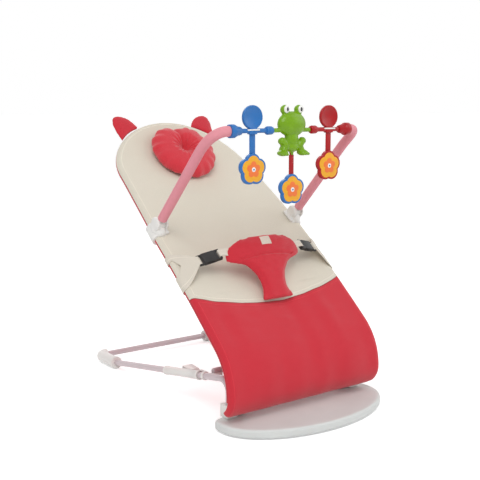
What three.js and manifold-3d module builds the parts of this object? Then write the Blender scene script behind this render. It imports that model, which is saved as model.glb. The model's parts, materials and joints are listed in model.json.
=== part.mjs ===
// A baby bouncer with a half-moon foot plate, a springy tube base, a reclining cloth seat on a tube
// frame, a buckled waist pad and a toy arch. Millimetres, +Z up, +Y towards the head, +X to the right.
import * as THREE from "three";
import { mergeVertices } from "three/addons/utils/BufferGeometryUtils.js";
import Module from "manifold-3d";

const wasm = await Module();
wasm.setup();

// Clearances
const SEAT_GAP = 0.3; // between pieces that rest on or sit in each other
const RUN_GAP = 0.5; // round anything that turns
const CUT_OVERRUN = 2; // how far a cutting shape runs past what it cuts
const MERGE_GAP = 0.001;

// Foot plate
const PLATE_HALF_WIDTH = 204;
const PLATE_FRONT = 119;
const PLATE_REAR = 40;
const PLATE_CORNER = 34;
const PLATE_TOP = 20;
const PLATE_EDGE = 5;
const PLATE_WALL = 4;
const PLATE_PAN_HEIGHT = 5;
const PAD_HEIGHT = 2;
const PAD_LENGTH = 90;
const PAD_WIDTH = 16;
const PAD_OUT = 105;
const PAD_BACK_SHARE = 0.28;

// Base tubes
const TUBE_RADIUS = 7;
const BASE_HALF_WIDTH = 166;
const FRONT_LEG_BACK = 24;
const FRONT_TUBE_BEND = 24;
const COLLAR_BACK = 111;
const COLLAR_HEIGHT = 83;
const COLLAR_LENGTH = 7;
const COLLAR_LIP = 1.6;
const ADAPTER_FRONT = 129;
const ADAPTER_BACK = 264;
const ADAPTER_RADIUS = 9;
const ADAPTER_GRIP = 20;
const ELBOW_BACK = 586;
const ELBOW_START = 500;
const ELBOW_RADIUS = 14;
const ELBOW_INNER = 149;
const ELBOW_GRIP = 22;
const ELBOW_BEND = 16;
const ELBOW_HEIGHT = 14.5; // of its middle line
const SIDE_TUBE_END_HEIGHT = 16;
const CROSSBAR_GRIP = 10;
const SOLE_HALF_WIDTH = 8;
const SOLE_INSET = 2;
const SOCKET_HALF_WIDTH = 12;
const SOCKET_FRONT = 12;
const SOCKET_BACK = 38;
const SOCKET_TOP = 47;
const SOCKET_GRIP = 12;
const SOCKET_FLOOR = 3.7;
const FOOT_INNER = 133;

// Seat hinge on the foot plate
const HINGE_BACK = 28;
const HINGE_HEIGHT = 36;
const HINGE_OUT = 142;
const LUG_WIDTH = 7;
const LUG_RADIUS = 8;
const EAR_WALL = 6;
const EAR_RADIUS = 9;
const PIN_RADIUS = 4;
const PIN_HEAD = 2;
const PIN_HEAD_RADIUS = 6.5;

// Seat sheet: its side profile from the hem at the foot plate up to the head
const HEM_HEIGHT = 30;
const HEM_RADIUS = 46.4;
const HEM_TURN = THREE.MathUtils.degToRad(74.6);
const KNEE_RADIUS = 133.7;
const SEAT_SLOPE = THREE.MathUtils.degToRad(41.8);
const BACK_BOW = THREE.MathUtils.degToRad(8);
const BACK_LENGTH = 509;
const HEAD_LENGTH = 165;
const HEAD_RADIUS = 443;
const FOOT_HALF_WIDTH = 203;
const MIDDLE_HALF_WIDTH = 200;
const HEAD_HALF_WIDTH = 185;
const TAPER_START = 280; // along the back
const TAPER_POWER = 1.2;
const HEM_CORNER = 22;

// Seat frame and cover
const RAIL_RADIUS = 7.5;
const COVER_THICKNESS = 2.5;
const COVER_SLACK = 1.5;
const FRONT_SAG = 11;
const BACK_SAG = 7;
const SAG_START_SHARE = 0.08;
const SAG_END_SHARE = 0.93;
const BAR_FROM_HEM = 16;
const FRAME_CORNER = 25;
const FRAME_JOIN = 470; // along the sheet
const SPIGOT_LENGTH = 22;
const SPIGOT_RADIUS = 5;
const BACK_PANEL_START = 52;
const SEAM_SIDE = 125; // along the back
const SEAM_CENTRE = 90;
const SEAM_POWER = 2.4;
const SEAM_GAP = 0.6;

// Prop: a welded frame hung from the seat's cross bar, whose foot bar rests in the base's racks
const PROP_BAR_ALONG = 100; // along the back
const PROP_BAR_DROP = 45;
const PROP_BAR_HALF = 130;
const PROP_BAR_BEND = 30;
const PROP_LEG_OUT = 100;
const PROP_FOOT_BACK = 108;
const PROP_FOOT_HEIGHT = 90;
const PROP_FOOT_HALF_LENGTH = 148;
const PROP_RATIO = 4; // turns of the prop for each turn of the seat
const PROP_SLEEVE_WALL = 3.5;
const PROP_LEG_RADIUS = 6;
const PROP_BOSS_REACH = 32;
const PROP_SLEEVE_LENGTH = 26;
const NOTCH_TURNS = [4, 8].map(THREE.MathUtils.degToRad);
const NOTCH_DROP = 3.5;
const TURN_STEP = THREE.MathUtils.degToRad(0.5);
const RACK_TURN = THREE.MathUtils.degToRad(12);
const RACK_INNER = 132;
const RACK_OUTER = 156.8;
const RACK_WALL = 9;
const RACK_LIP = 6;
const RACK_LIP_DROP = 1;
const RACK_BRIDGE = 5;
const RACK_PLAY = 1.2;

// Ears and head pillow
const EAR_OUT = 104;
const EAR_HALF_WIDTH = 30;
const EAR_LENGTH = 47;
const EAR_LEAN = 19;
const EAR_ROUNDNESS = 0.5;
const EAR_NARROWING = 0.05; // at its tip
const EAR_THICKNESS = 13;
const EAR_SEAM = 0.5;
const PILLOW_ALONG = 559; // along the back
const PILLOW_HALF_WIDTH = 87;
const PILLOW_HALF_LENGTH = 88;
const PILLOW_THICKNESS = 38;
const PILLOW_DIMPLE = 25;
const PILLOW_GATHERS = 14;
const PILLOW_GATHER_DEPTH = 1.6;
const PILLOW_NOTCH = 12;
const PILLOW_REST = 0.8; // its underside over the sheet

// Waist pad, its label and straps
const PAD_START = 98; // along the back
const PAD_END = 214;
const PAD_LIFT = 62;
const PAD_BAND_HALF = 98;
const PAD_NECK_HALF = 36;
const PAD_DROOP = 19;
const PAD_THICKNESS = 15;
const PAD_HEM = 5;
const PAD_CREASE = 3;
const PAD_TAB_SHARE = 0.82;
const LABEL_WIDTH = 26;
const LABEL_HEIGHT = 24;
const LABEL_THICKNESS = 0.8;
const LABEL_ROW_SHARE = 0.93;
const LABEL_LIFT = 6.8; // over the middle of the pad
const BUCKLE_OUT = 134;
const BUCKLE_ALONG = 196;
const BUCKLE_LIFT = 30;
const BUCKLE_TILT = THREE.MathUtils.degToRad(16);
const SOCKET_HALF_LENGTH = 14;
const BUCKLE_HALF_WIDTH = 13;
const BUCKLE_HALF_DEPTH = 4.5;
const BUCKLE_WALL = 2;
const BUCKLE_LOOP = 11;
const BUCKLE_BAR = 3;
const TONGUE_LENGTH = 13;
const PRONG_HALF_DEPTH = 1.9;
const PRONG_ARM = [6, 9]; // from the buckle's middle line
const PRONG_TIP = 14.5;
const PRONG_REACH = 5;
const STRAP_THICKNESS = 2;
const STRAP_HALF_NARROW = 10;
const STRAP_HALF_WIDE = 48;
const STRAP_WRAP = [47, -60].map(THREE.MathUtils.degToRad);
const TAB_THICKNESS = 1.5;
const TAB_HALF_WIDTH = 9;

// Toy arch
const ARCH_ALONG = 318; // along the back
const ARCH_LIFT = 17.5;
const ARCH_SHIFT = 1.5; // of the hub, outwards from the rail
const CLAMP_LENGTH = 34;
const CLAMP_WALL = 4.5;
const CLAMP_FLANGE = 18;
const CLEVIS_WALL = 4;
const CLEVIS_RADIUS = 11.5;
const ARCH_HUB_WIDTH = 17;
const ARCH_HUB_RADIUS = 11;
const STUB_RADIUS = 3.5;
const STUB_LENGTH = 5;
const ARCH_TUBE_RADIUS = 6;
const FOAM_RADIUS = 10.5;
const FOAM_START = 15;
const BAR_FORWARD = 210; // from the clamp's pivot to the toy bar
const BAR_RISE = 200;
const ARCH_STRAIGHT = 222;
const ARCH_CLIMB = THREE.MathUtils.degToRad(45.7);
const ARCH_EASE = 28;
const ARCH_LEVEL = 3;
const ARCH_STEPS = 7;
const CUP_OUT = 156;
const CUP_RADIUS = 13.5;
const CUP_LENGTH = 15;
const CUP_NECK_RADIUS = 8.5;
const CUP_NECK_LENGTH = 13;
const CUP_GRIP = 18;

// Toy bar, frog and pendants
const TOY_OUT = 100;
const ROD_RADIUS = 4.5;
const ROD_GRIP = 5;
const COUPLER_RADIUS = 8.5;
const COUPLER_LENGTH = 17;
const COUPLER_INNER = 49.5;
const COUPLER_SIDES = 6;
const AXLE_RADIUS = 4.6;
const AXLE_PIN_RADIUS = 3;
const AXLE_PIN_LENGTH = 10;
const PADDLE_HALF_WIDTH = 22;
const PADDLE_HALF_HEIGHT = 24;
const PADDLE_THICKNESS = 7;
const PADDLE_RIM = 3;
const PADDLE_DISH = 1.5;
const PADDLE_SINK = 2;
const HANG_PIN_RADIUS = 1.3;
const HANG_EYE_RADIUS = 2.4;
const HANG_DROP = 5; // from the bar's axis down to the strap's pin
const KEEPER_WALL = 2;
const KEEPER_HALF_DEPTH = 5;
const KEEPER_FLOOR = 2;
const PENDANT_HALF_WIDTH = 7;
const PENDANT_THICKNESS = 2.4;
const PENDANT_DROP = 76; // from the bar down to the flower's centre
const FLOWER_RADIUS = 32;
const FLOWER_WAVE = 4;
const FLOWER_THICKNESS = 9;
const FLOWER_EDGE = 2;
const FLOWER_SLOT = 8;
const PETALS = 5;
const FROG_HEAD = [35, 17, 26]; // half sizes
const FROG_HEAD_RISE = 12;
const FROG_EYE = 10;
const FROG_EYE_OUT = 18;
const FROG_EYE_RISE = 41;
const FROG_BODY = [19, 13, 24];
const FROG_BODY_DROP = 20;
const FROG_THIGH = [10, 11, 17];
const FROG_THIGH_DROP = 31;
const FROG_LEG_OUT = 17;
const FROG_LEG_TURN = THREE.MathUtils.degToRad(24);
const FROG_FOOT = [11, 13, 7];
const FROG_FOOT_FORWARD = 4;
const FROG_FOOT_DROP = 46;
const FROG_FOOT_OUT = 25;
const TAG_PIN_DROP = 47;
const TAG_HALF_WIDTH = 6;
const TAG_WALL = 2;
const TAG_EYE_RADIUS = 3.4;
const TAG_DROP = 74; // from the tag's pin to the flower's centre

// Number of sides and steps
const ROUND = 12;
const LIMB_ROUND = 10;
const KNEE_STEPS = 8;
const HEAD_STEPS = 20;
const FINE_ROUND = 16;
const PLATE_STEPS = 24;
const BEND_STEPS = 4;

// Derived places
const KNEE_TURN = Math.PI / 2 - SEAT_SLOPE;
const HEM_LENGTH = HEM_RADIUS * HEM_TURN;
const KNEE_LENGTH = KNEE_RADIUS * KNEE_TURN;
const BACK_START = HEM_LENGTH + KNEE_LENGTH;
const ARCH_START = BACK_START + BACK_LENGTH;
const SHEET_END = ARCH_START + HEAD_LENGTH;
const WRAP = RAIL_RADIUS + COVER_SLACK + COVER_THICKNESS;
const REAR_EDGE = ELBOW_BACK + ELBOW_RADIUS;
const CENTRE_BACK = (REAR_EDGE - PLATE_FRONT) / 2;

function finish(red, green, blue, roughness, metalness = 0) {
  const color = new THREE.Color().setRGB(red, green, blue, THREE.SRGBColorSpace);
  return new THREE.MeshStandardMaterial({ color, roughness, metalness });
}

const FINISHES = {
  white: finish(0.87, 0.86, 0.85, 0.4),
  tube: finish(0.8, 0.74, 0.75, 0.35, 0.1),
  rubber: finish(0.3, 0.3, 0.31, 0.9),
  steel: finish(0.7, 0.7, 0.72, 0.3, 1),
  cream: finish(0.82, 0.78, 0.71, 0.9),
  red: finish(0.79, 0.21, 0.26, 0.9),
  black: finish(0.1, 0.1, 0.1, 0.5),
  foam: finish(0.87, 0.62, 0.66, 0.8),
  blue: finish(0.22, 0.47, 0.74, 0.35),
  scarlet: finish(0.72, 0.12, 0.15, 0.35),
  green: finish(0.5, 0.7, 0.1, 0.4),
  petal: finish(0.88, 0.64, 0.2, 0.6),
};

// Closed geometry and booleans

function closed(geometry) {
  const bare = geometry.index ? geometry.toNonIndexed() : geometry.clone();
  for (const name of Object.keys(bare.attributes)) {
    if (name !== "position") bare.deleteAttribute(name);
  }
  const merged = mergeVertices(bare, MERGE_GAP);
  const from = merged.index.array;
  const kept = [];
  for (let i = 0; i < from.length; i += 3) {
    const [a, b, c] = [from[i], from[i + 1], from[i + 2]];
    if (a !== b && b !== c && a !== c) kept.push(a, b, c);
  }
  merged.setIndex(signedVolume(merged, kept) < 0 ? kept.reverse() : kept);
  return merged;
}

// Six times the volume inside the triangles: negative where their faces point inwards.
function signedVolume(geometry, triangles) {
  const corner = (i) => new THREE.Vector3().fromBufferAttribute(geometry.attributes.position, triangles[i]);
  let sum = 0;
  for (let i = 0; i < triangles.length; i += 3) {
    sum += corner(i).dot(corner(i + 1).cross(corner(i + 2)));
  }
  return sum;
}

function solidOf(geometry) {
  const merged = closed(geometry);
  return new wasm.Manifold(
    new wasm.Mesh({
      numProp: 3,
      vertProperties: merged.attributes.position.array,
      triVerts: new Uint32Array(merged.index.array),
    }),
  );
}

function geometryOf(solid) {
  const mesh = solid.getMesh();
  const geometry = new THREE.BufferGeometry();
  geometry.setAttribute("position", new THREE.BufferAttribute(mesh.vertProperties, mesh.numProp));
  geometry.setIndex(new THREE.BufferAttribute(mesh.triVerts, 1));
  return geometry;
}

function join(first, ...others) {
  return geometryOf(others.reduce((whole, next) => whole.add(solidOf(next)), solidOf(first)));
}

function cut(first, ...others) {
  return geometryOf(others.reduce((whole, next) => whole.subtract(solidOf(next)), solidOf(first)));
}

function piece(group, name, finishName, geometry) {
  const shape = closed(geometry);
  shape.computeVertexNormals();
  const mesh = new THREE.Mesh(shape, FINISHES[finishName]);
  mesh.name = name;
  group.add(mesh);
  return mesh;
}

// Simple shapes

function rod(radius, length, sides = ROUND) {
  return new THREE.CylinderGeometry(radius, radius, length, sides).rotateZ(-Math.PI / 2);
}

function block(width, depth, height) {
  return new THREE.BoxGeometry(width, depth, height);
}

// A polygon of [back, height] corners, pushed along X from low to high.
function slab(corners, low, high) {
  const shape = new THREE.Shape(corners.map(([back, height]) => new THREE.Vector2(back, height)));
  const turn = new THREE.Matrix4().makeBasis(
    new THREE.Vector3(0, 1, 0),
    new THREE.Vector3(0, 0, 1),
    new THREE.Vector3(1, 0, 0),
  );
  const made = new THREE.ExtrudeGeometry(shape, { depth: high - low, bevelEnabled: false });
  return made.applyMatrix4(turn).translate(low, 0, 0);
}

// A route through points, with one ring of the tube at each of them.
class Route extends THREE.Curve {
  constructor(points) {
    super();
    this.points = points;
  }
  getPoint(t, target = new THREE.Vector3()) {
    const last = this.points.length - 1;
    const place = Math.min(Math.max(t, 0), 1) * last;
    const step = Math.min(Math.floor(place), last - 1);
    return target.lerpVectors(this.points[step], this.points[step + 1], place - step);
  }
  getUtoTmapping(u) {
    return u;
  }
}

function tube(points, radius, sides = ROUND) {
  const ring = new THREE.Shape().absarc(0, 0, radius, 0, 2 * Math.PI);
  const options = { extrudePath: new Route(points), steps: points.length - 1, curveSegments: sides / 2 };
  return new THREE.ExtrudeGeometry(ring, { ...options, bevelEnabled: false });
}

// The corners of a bent tube's route, rounded to its bend radius.
function bent(corners, radius, steps = BEND_STEPS) {
  const route = [corners[0]];
  for (let i = 1; i < corners.length - 1; i += 1) {
    const back = corners[i - 1].clone().sub(corners[i]).normalize();
    const ahead = corners[i + 1].clone().sub(corners[i]).normalize();
    const half = back.angleTo(ahead) / 2;
    const turn = Math.PI - 2 * half;
    const toCentre = back.clone().add(ahead).setLength(radius / Math.sin(half));
    const centre = corners[i].clone().add(toCentre);
    const from = back.multiplyScalar(radius / Math.tan(half)).sub(toCentre);
    const to = ahead.multiplyScalar(radius / Math.tan(half)).sub(toCentre);
    for (let k = 0; k <= steps; k += 1) {
      const share = k / steps;
      const start = from.clone().multiplyScalar(Math.sin((1 - share) * turn) / Math.sin(turn));
      const end = to.clone().multiplyScalar(Math.sin(share * turn) / Math.sin(turn));
      route.push(centre.clone().add(start).add(end));
    }
  }
  route.push(corners[corners.length - 1]);
  return route;
}

function at(out, back, height) {
  return new THREE.Vector3(out, back, height);
}

// Turns rings of points into a closed skin: each ring has as many points, and the first and last are
// filled with fans. A ring may be one repeated point.
function loft(rings) {
  const places = [];
  const triangle = (a, b, c) => places.push(...a.toArray(), ...b.toArray(), ...c.toArray());
  for (let k = 0; k + 1 < rings.length; k += 1) {
    const count = rings[k].length;
    for (let i = 0; i < count; i += 1) {
      const j = (i + 1) % count;
      triangle(rings[k][i], rings[k][j], rings[k + 1][j]);
      triangle(rings[k][i], rings[k + 1][j], rings[k + 1][i]);
    }
  }
  const fan = (ring, flip) => {
    const centre = ring.reduce((sum, point) => sum.add(point), at(0, 0, 0)).divideScalar(ring.length);
    ring.forEach((point, i) => {
      const next = ring[(i + 1) % ring.length];
      if (flip) triangle(centre, next, point);
      else triangle(centre, point, next);
    });
  };
  fan(rings[0], true);
  fan(rings[rings.length - 1], false);
  return new THREE.BufferGeometry().setAttribute("position", new THREE.Float32BufferAttribute(places, 3));
}

// A closed shell between two grids of points of the same size, upper over lower.
function shell(upper, lower) {
  const rings = upper.map((row, k) => [...lower[k], ...[...row].reverse()]);
  const places = [];
  const triangle = (a, b, c) => places.push(...a.toArray(), ...b.toArray(), ...c.toArray());
  const quad = (a, b, c, d) => {
    triangle(a, b, c);
    triangle(a, c, d);
  };
  for (let k = 0; k + 1 < rings.length; k += 1) {
    rings[k].forEach((point, i) => {
      const j = (i + 1) % rings[k].length;
      quad(point, rings[k][j], rings[k + 1][j], rings[k + 1][i]);
    });
  }
  const last = upper.length - 1;
  for (let i = 0; i + 1 < upper[0].length; i += 1) {
    quad(upper[0][i], upper[0][i + 1], lower[0][i + 1], lower[0][i]);
    quad(lower[last][i], lower[last][i + 1], upper[last][i + 1], upper[last][i]);
  }
  return new THREE.BufferGeometry().setAttribute("position", new THREE.Float32BufferAttribute(places, 3));
}

// Calls make for the left side and the right side, with the sign of X and the side's name.
function bothSides(make) {
  make(-1, "left");
  make(1, "right");
}

// Adds a piece that was built for the right side, and its mirror image on the left.
function pair(group, name, finishName, geometry) {
  piece(group, `${name}_left`, finishName, mirrored(geometry));
  piece(group, `${name}_right`, finishName, geometry);
}

// The seat sheet. Along is the length from the hem, lift is the height off the sheet's front face.

const PROFILE = [
  { length: HEM_LENGTH, turn: -HEM_TURN },
  { length: KNEE_LENGTH, turn: -KNEE_TURN },
  { length: BACK_LENGTH, turn: -BACK_BOW },
  { length: HEAD_LENGTH, turn: HEAD_LENGTH / HEAD_RADIUS },
];

function profileAt(along) {
  let [back, height, heading, left] = [0, HEM_HEIGHT, Math.PI / 2 + HEM_TURN, along];
  for (const part of PROFILE) {
    const run = part === PROFILE[PROFILE.length - 1] ? left : Math.min(left, part.length);
    const radius = part.length / part.turn;
    const next = heading + run / radius;
    back += radius * (Math.sin(next) - Math.sin(heading));
    height -= radius * (Math.cos(next) - Math.cos(heading));
    heading = next;
    left -= run;
    if (left === 0) break;
  }
  return { back, height, heading };
}

function onSeat(out, along, lift) {
  const { back, height, heading } = profileAt(along);
  return at(out, back - lift * Math.sin(heading), height + lift * Math.cos(heading));
}

function sideHalfWidth(along) {
  const taperFrom = BACK_START + TAPER_START;
  if (along < taperFrom) {
    return THREE.MathUtils.lerp(FOOT_HALF_WIDTH, MIDDLE_HALF_WIDTH, along / taperFrom);
  }
  const share = Math.min((along - taperFrom) / (ARCH_START - taperFrom), 1);
  return MIDDLE_HALF_WIDTH - (MIDDLE_HALF_WIDTH - HEAD_HALF_WIDTH) * share ** TAPER_POWER;
}

function halfWidth(along) {
  if (along < HEM_CORNER) {
    const rise = HEM_CORNER - along;
    return sideHalfWidth(along) - HEM_CORNER + Math.sqrt(HEM_CORNER ** 2 - rise ** 2);
  }
  if (along > ARCH_START) {
    const share = Math.min((along - ARCH_START) / HEAD_LENGTH, 1);
    return HEAD_HALF_WIDTH * Math.sqrt(1 - share ** 2);
  }
  return sideHalfWidth(along);
}

// How far a point lies inside the sheet's outline, and the way out.
function edgeAt(out, along) {
  if (along <= ARCH_START) {
    return { inset: halfWidth(along) - Math.abs(out), way: [Math.sign(out), 0] };
  }
  const [across, up] = [out / HEAD_HALF_WIDTH, (along - ARCH_START) / HEAD_LENGTH];
  const reach = Math.hypot(across, up);
  const slope = [across / HEAD_HALF_WIDTH, up / HEAD_LENGTH];
  const steepness = Math.hypot(...slope) / reach;
  const length = Math.hypot(...slope);
  return { inset: (1 - reach) / steepness, way: [slope[0] / length, slope[1] / length] };
}

function sagShare(out, along) {
  const width = halfWidth(along);
  if (width <= 0) return 0;
  const span = (along / SHEET_END - SAG_START_SHARE) / (SAG_END_SHARE - SAG_START_SHARE);
  if (span <= 0 || span >= 1) return 0;
  return Math.sin(Math.PI * span) * Math.max(0, 1 - (out / width) ** 2) ** 2;
}

// One point of the cover's face and the point one thickness under it. Side is 1 in front, -1 behind.
function coverPoints(out, along, side, sag) {
  const { inset, way } = edgeAt(out, along);
  const least = Math.asin((SEAT_GAP + SEAM_GAP) / WRAP);
  const lean = Math.max(least, Math.acos(Math.min(Math.max(1 - inset / WRAP, 0), 1)));
  const [spread, height] = [Math.cos(lean), Math.sin(lean)];
  const dip = -sag * sagShare(out, along);
  const lift = -WRAP + side * WRAP * height + dip;
  const inLift = -WRAP + side * (WRAP - COVER_THICKNESS) * height + dip;
  const inwards = spread * COVER_THICKNESS;
  return [onSeat(out, along, lift), onSeat(out - way[0] * inwards, along - way[1] * inwards, inLift)];
}

const WRAP_LEANS = [0, Math.PI / 6, Math.PI / 3, Math.PI / 2];
const WRAP_INSETS = WRAP_LEANS.map((lean) => WRAP * (1 - Math.cos(lean)));
const INNER_SHARES = [0.8, 0.6, 0.4, 0.2];

function columnShares() {
  const half = [...WRAP_INSETS.map((inset) => 1 - inset / MIDDLE_HALF_WIDTH), ...INNER_SHARES];
  return [...half.map((share) => -share), 0, ...half.reverse()];
}

// A cover panel from rows of along values, each a function of the share across.
function coverPanel(rows, side, sag) {
  const [outer, inner] = [[], []];
  for (const row of rows) {
    const pairs = columnShares().map((share) => {
      const along = row(share);
      return coverPoints(share * halfWidth(along), along, side, sag);
    });
    outer.push(pairs.map((pair) => pair[0]));
    inner.push(pairs.map((pair) => pair[1]));
  }
  return side > 0 ? shell(outer, inner) : shell(inner, outer);
}

function level(along) {
  return () => along;
}

function seamAt(share) {
  const rise = (SEAM_SIDE - SEAM_CENTRE) * Math.abs(share) ** SEAM_POWER;
  return BACK_START + SEAM_CENTRE + rise;
}

const HEAD_INSETS = [...WRAP_INSETS, 20, 34, 56, 90, 130].reverse();

function headRows() {
  return HEAD_INSETS.map((inset) => level(SHEET_END - inset));
}

function upperFrontCover() {
  const seamTop = BACK_START + SEAM_SIDE;
  const between = (share) => (across) =>
    THREE.MathUtils.lerp(seamAt(across) + SEAM_GAP, seamTop + SEAM_SIDE, share);
  const backRows = [0.55, 0.75, 1].map((share) => level(BACK_START + BACK_LENGTH * share));
  return coverPanel([between(0), between(0.35), between(1), ...backRows, ...headRows()], 1, FRONT_SAG);
}

function lowerFrontCover() {
  const hem = [0, 0.1, 0.4, 1].map((share) => level(HEM_CORNER * share));
  const knee = steps(HEM_CORNER, BACK_START, 10).slice(1).map(level);
  return coverPanel([...hem, ...knee, (share) => seamAt(share) - SEAM_GAP], 1, FRONT_SAG);
}

// The middle line of one of the frame's rails, at these lengths along the sheet.
function railPath(alongs, sign) {
  return alongs.map((along) => onSeat(sign * (halfWidth(along) - WRAP), along, -WRAP));
}

function steps(from, to, count) {
  return Array.from({ length: count + 1 }, (_, i) => THREE.MathUtils.lerp(from, to, i / count));
}

function crossBarRoute() {
  const along = BACK_START + PROP_BAR_ALONG;
  const out = halfWidth(along) - WRAP;
  const end = (sign) => onSeat(sign * out, along, -WRAP);
  const corner = (sign) => onSeat(sign * PROP_BAR_HALF, along, -PROP_BAR_DROP);
  return bent([end(-1), corner(-1), corner(1), end(1)], PROP_BAR_BEND);
}

function backCover() {
  const low = steps(BACK_PANEL_START, BACK_START, 5).slice(0, -1).map(level);
  const clamp = [-0.5, 0.5].map((share) => ARCH_ALONG + share * CLAMP_LENGTH); // rows at its ends, for a close fit
  const back = [0, ARCH_ALONG / 2, ...clamp, BACK_LENGTH].map((along) => level(BACK_START + along));
  const panel = coverPanel([...low, ...back, ...headRows()], -1, BACK_SAG + FRONT_SAG);
  return cut(panel, tube(crossBarRoute(), TUBE_RADIUS + RUN_GAP + SEAM_GAP));
}

function spigot(sign, radius, start, end) {
  return tube([start, end].map((along) => onSeat(sign * (halfWidth(FRAME_JOIN) - WRAP), along, -WRAP)), radius);
}

function hemBarRoute() {
  const side = (sign) => railPath(steps(FRAME_JOIN, BACK_START, 3), sign);
  const knee = (sign) => railPath(steps(BACK_START, FRAME_CORNER + BAR_FROM_HEM, KNEE_STEPS).slice(1), sign);
  const out = halfWidth(FRAME_CORNER + BAR_FROM_HEM) - WRAP - FRAME_CORNER;
  const corner = (sign) =>
    steps(0, Math.PI / 2, BEND_STEPS)
      .slice(1)
      .map((turn) => {
        const along = BAR_FROM_HEM + FRAME_CORNER * (1 - Math.sin(turn));
        return onSeat(sign * (out + FRAME_CORNER * Math.cos(turn)), along, -WRAP);
      });
  const left = [...side(-1), ...knee(-1), ...corner(-1)];
  const right = [...side(1), ...knee(1), ...corner(1)];
  return [...left, ...right.reverse()];
}

function hingeLug(sign) {
  const bar = onSeat(0, BAR_FROM_HEM, -WRAP);
  const middle = sign * HINGE_OUT;
  const run = at(0, HINGE_BACK - bar.y, HINGE_HEIGHT - bar.z).normalize();
  const arm = slab(
    [
      [bar.y + run.z * LUG_RADIUS, bar.z - run.y * LUG_RADIUS],
      [HINGE_BACK + run.z * LUG_RADIUS, HINGE_HEIGHT - run.y * LUG_RADIUS],
      [HINGE_BACK - run.z * LUG_RADIUS, HINGE_HEIGHT + run.y * LUG_RADIUS],
      [bar.y - run.z * LUG_RADIUS, bar.z + run.y * LUG_RADIUS],
    ],
    middle - LUG_WIDTH / 2,
    middle + LUG_WIDTH / 2,
  );
  const eye = rod(LUG_RADIUS, LUG_WIDTH).translate(middle, HINGE_BACK, HINGE_HEIGHT);
  const bore = rod(PIN_RADIUS + RUN_GAP, LUG_WIDTH + CUT_OVERRUN).translate(middle, HINGE_BACK, HINGE_HEIGHT);
  return cut(join(arm, eye), bore);
}

function lowerFrame() {
  const crossBar = tube(crossBarRoute(), TUBE_RADIUS);
  const ends = [FRAME_JOIN - SPIGOT_LENGTH, FRAME_JOIN + SPIGOT_LENGTH];
  const pegs = [-1, 1].map((sign) => spigot(sign, SPIGOT_RADIUS, ...ends));
  return join(tube(hemBarRoute(), RAIL_RADIUS), crossBar, ...pegs, hingeLug(-1), hingeLug(1));
}

function upperFrame() {
  const straight = (sign) => railPath(steps(FRAME_JOIN + 2 * RUN_GAP, ARCH_START, 4), sign);
  const arch = steps(0, Math.PI, HEAD_STEPS)
    .slice(1, -1)
    .map((turn) => {
      const out = -(HEAD_HALF_WIDTH - WRAP) * Math.cos(turn);
      return onSeat(out, ARCH_START + (HEAD_LENGTH - WRAP) * Math.sin(turn), -WRAP);
    });
  const whole = tube([...straight(-1), ...arch, ...straight(1).reverse()], RAIL_RADIUS);
  const bore = (sign) =>
    spigot(sign, SPIGOT_RADIUS + SEAT_GAP, FRAME_JOIN - CUT_OVERRUN, FRAME_JOIN + SPIGOT_LENGTH + SEAT_GAP);
  return cut(whole, bore(-1), bore(1));
}

// A stuffed form between two faces: rings from the seam to the middle, each with its lift on both faces.
function stuffed(outline, rings, place) {
  const face = (side) =>
    rings.map(([share, top, bottom]) => outline.map((point) => place(point, share, side > 0 ? top : bottom)));
  const under = face(-1).reverse();
  return loft([...under, ...face(1)]);
}

function ring(count, make) {
  return Array.from({ length: count }, (_, i) => make((i / count) * 2 * Math.PI));
}

const EAR_RINGS = [
  [0.3, 1, -1],
  [0.6, 0.85, -0.85],
  [0.85, 0.5, -0.5],
  [1, 0.1, -0.1],
];

function ear() {
  const baseAlong = (out) => {
    const share = Math.min(Math.abs(out) / HEAD_HALF_WIDTH, 1);
    return ARCH_START + HEAD_LENGTH * Math.sqrt(1 - share ** 2) + SEAT_GAP;
  };
  const outline = [];
  for (const share of [-1, -0.5, 0, 0.5, 1]) {
    const out = EAR_OUT + share * EAR_HALF_WIDTH;
    outline.push([out, baseAlong(out) + EAR_SEAM]);
  }
  for (const turn of steps(0, Math.PI, 8).slice(1, -1)) {
    const up = Math.sin(turn) ** EAR_ROUNDNESS;
    const out = EAR_OUT + EAR_LEAN * up + EAR_HALF_WIDTH * Math.cos(turn) * (1 - EAR_NARROWING * up);
    const foot = baseAlong(EAR_OUT + EAR_HALF_WIDTH * Math.cos(turn));
    outline.push([out, THREE.MathUtils.lerp(foot, baseAlong(EAR_OUT) + EAR_LENGTH, up)]);
  }
  const middle = [EAR_OUT + EAR_LEAN / 3, baseAlong(EAR_OUT) + EAR_LENGTH * 0.4];
  const half = EAR_THICKNESS / 2;
  return stuffed(outline, EAR_RINGS, ([out, along], share, lift) =>
    onSeat(
      THREE.MathUtils.lerp(middle[0], out, share),
      THREE.MathUtils.lerp(middle[1], along, share),
      -WRAP + half * lift,
    ),
  );
}

function mirrored(geometry) {
  return geometry.clone().scale(-1, 1, 1);
}

function coverLift(out, along) {
  return -FRONT_SAG * sagShare(out, along);
}

const PILLOW_RINGS = [
  [0.08, PILLOW_THICKNESS - PILLOW_DIMPLE],
  [0.2, PILLOW_THICKNESS - PILLOW_DIMPLE * 0.62],
  [0.36, PILLOW_THICKNESS - PILLOW_DIMPLE * 0.1],
  [0.58, PILLOW_THICKNESS],
  [0.8, PILLOW_THICKNESS * 0.86],
  [0.93, PILLOW_THICKNESS * 0.55],
  [1, PILLOW_THICKNESS * 0.22],
];

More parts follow.
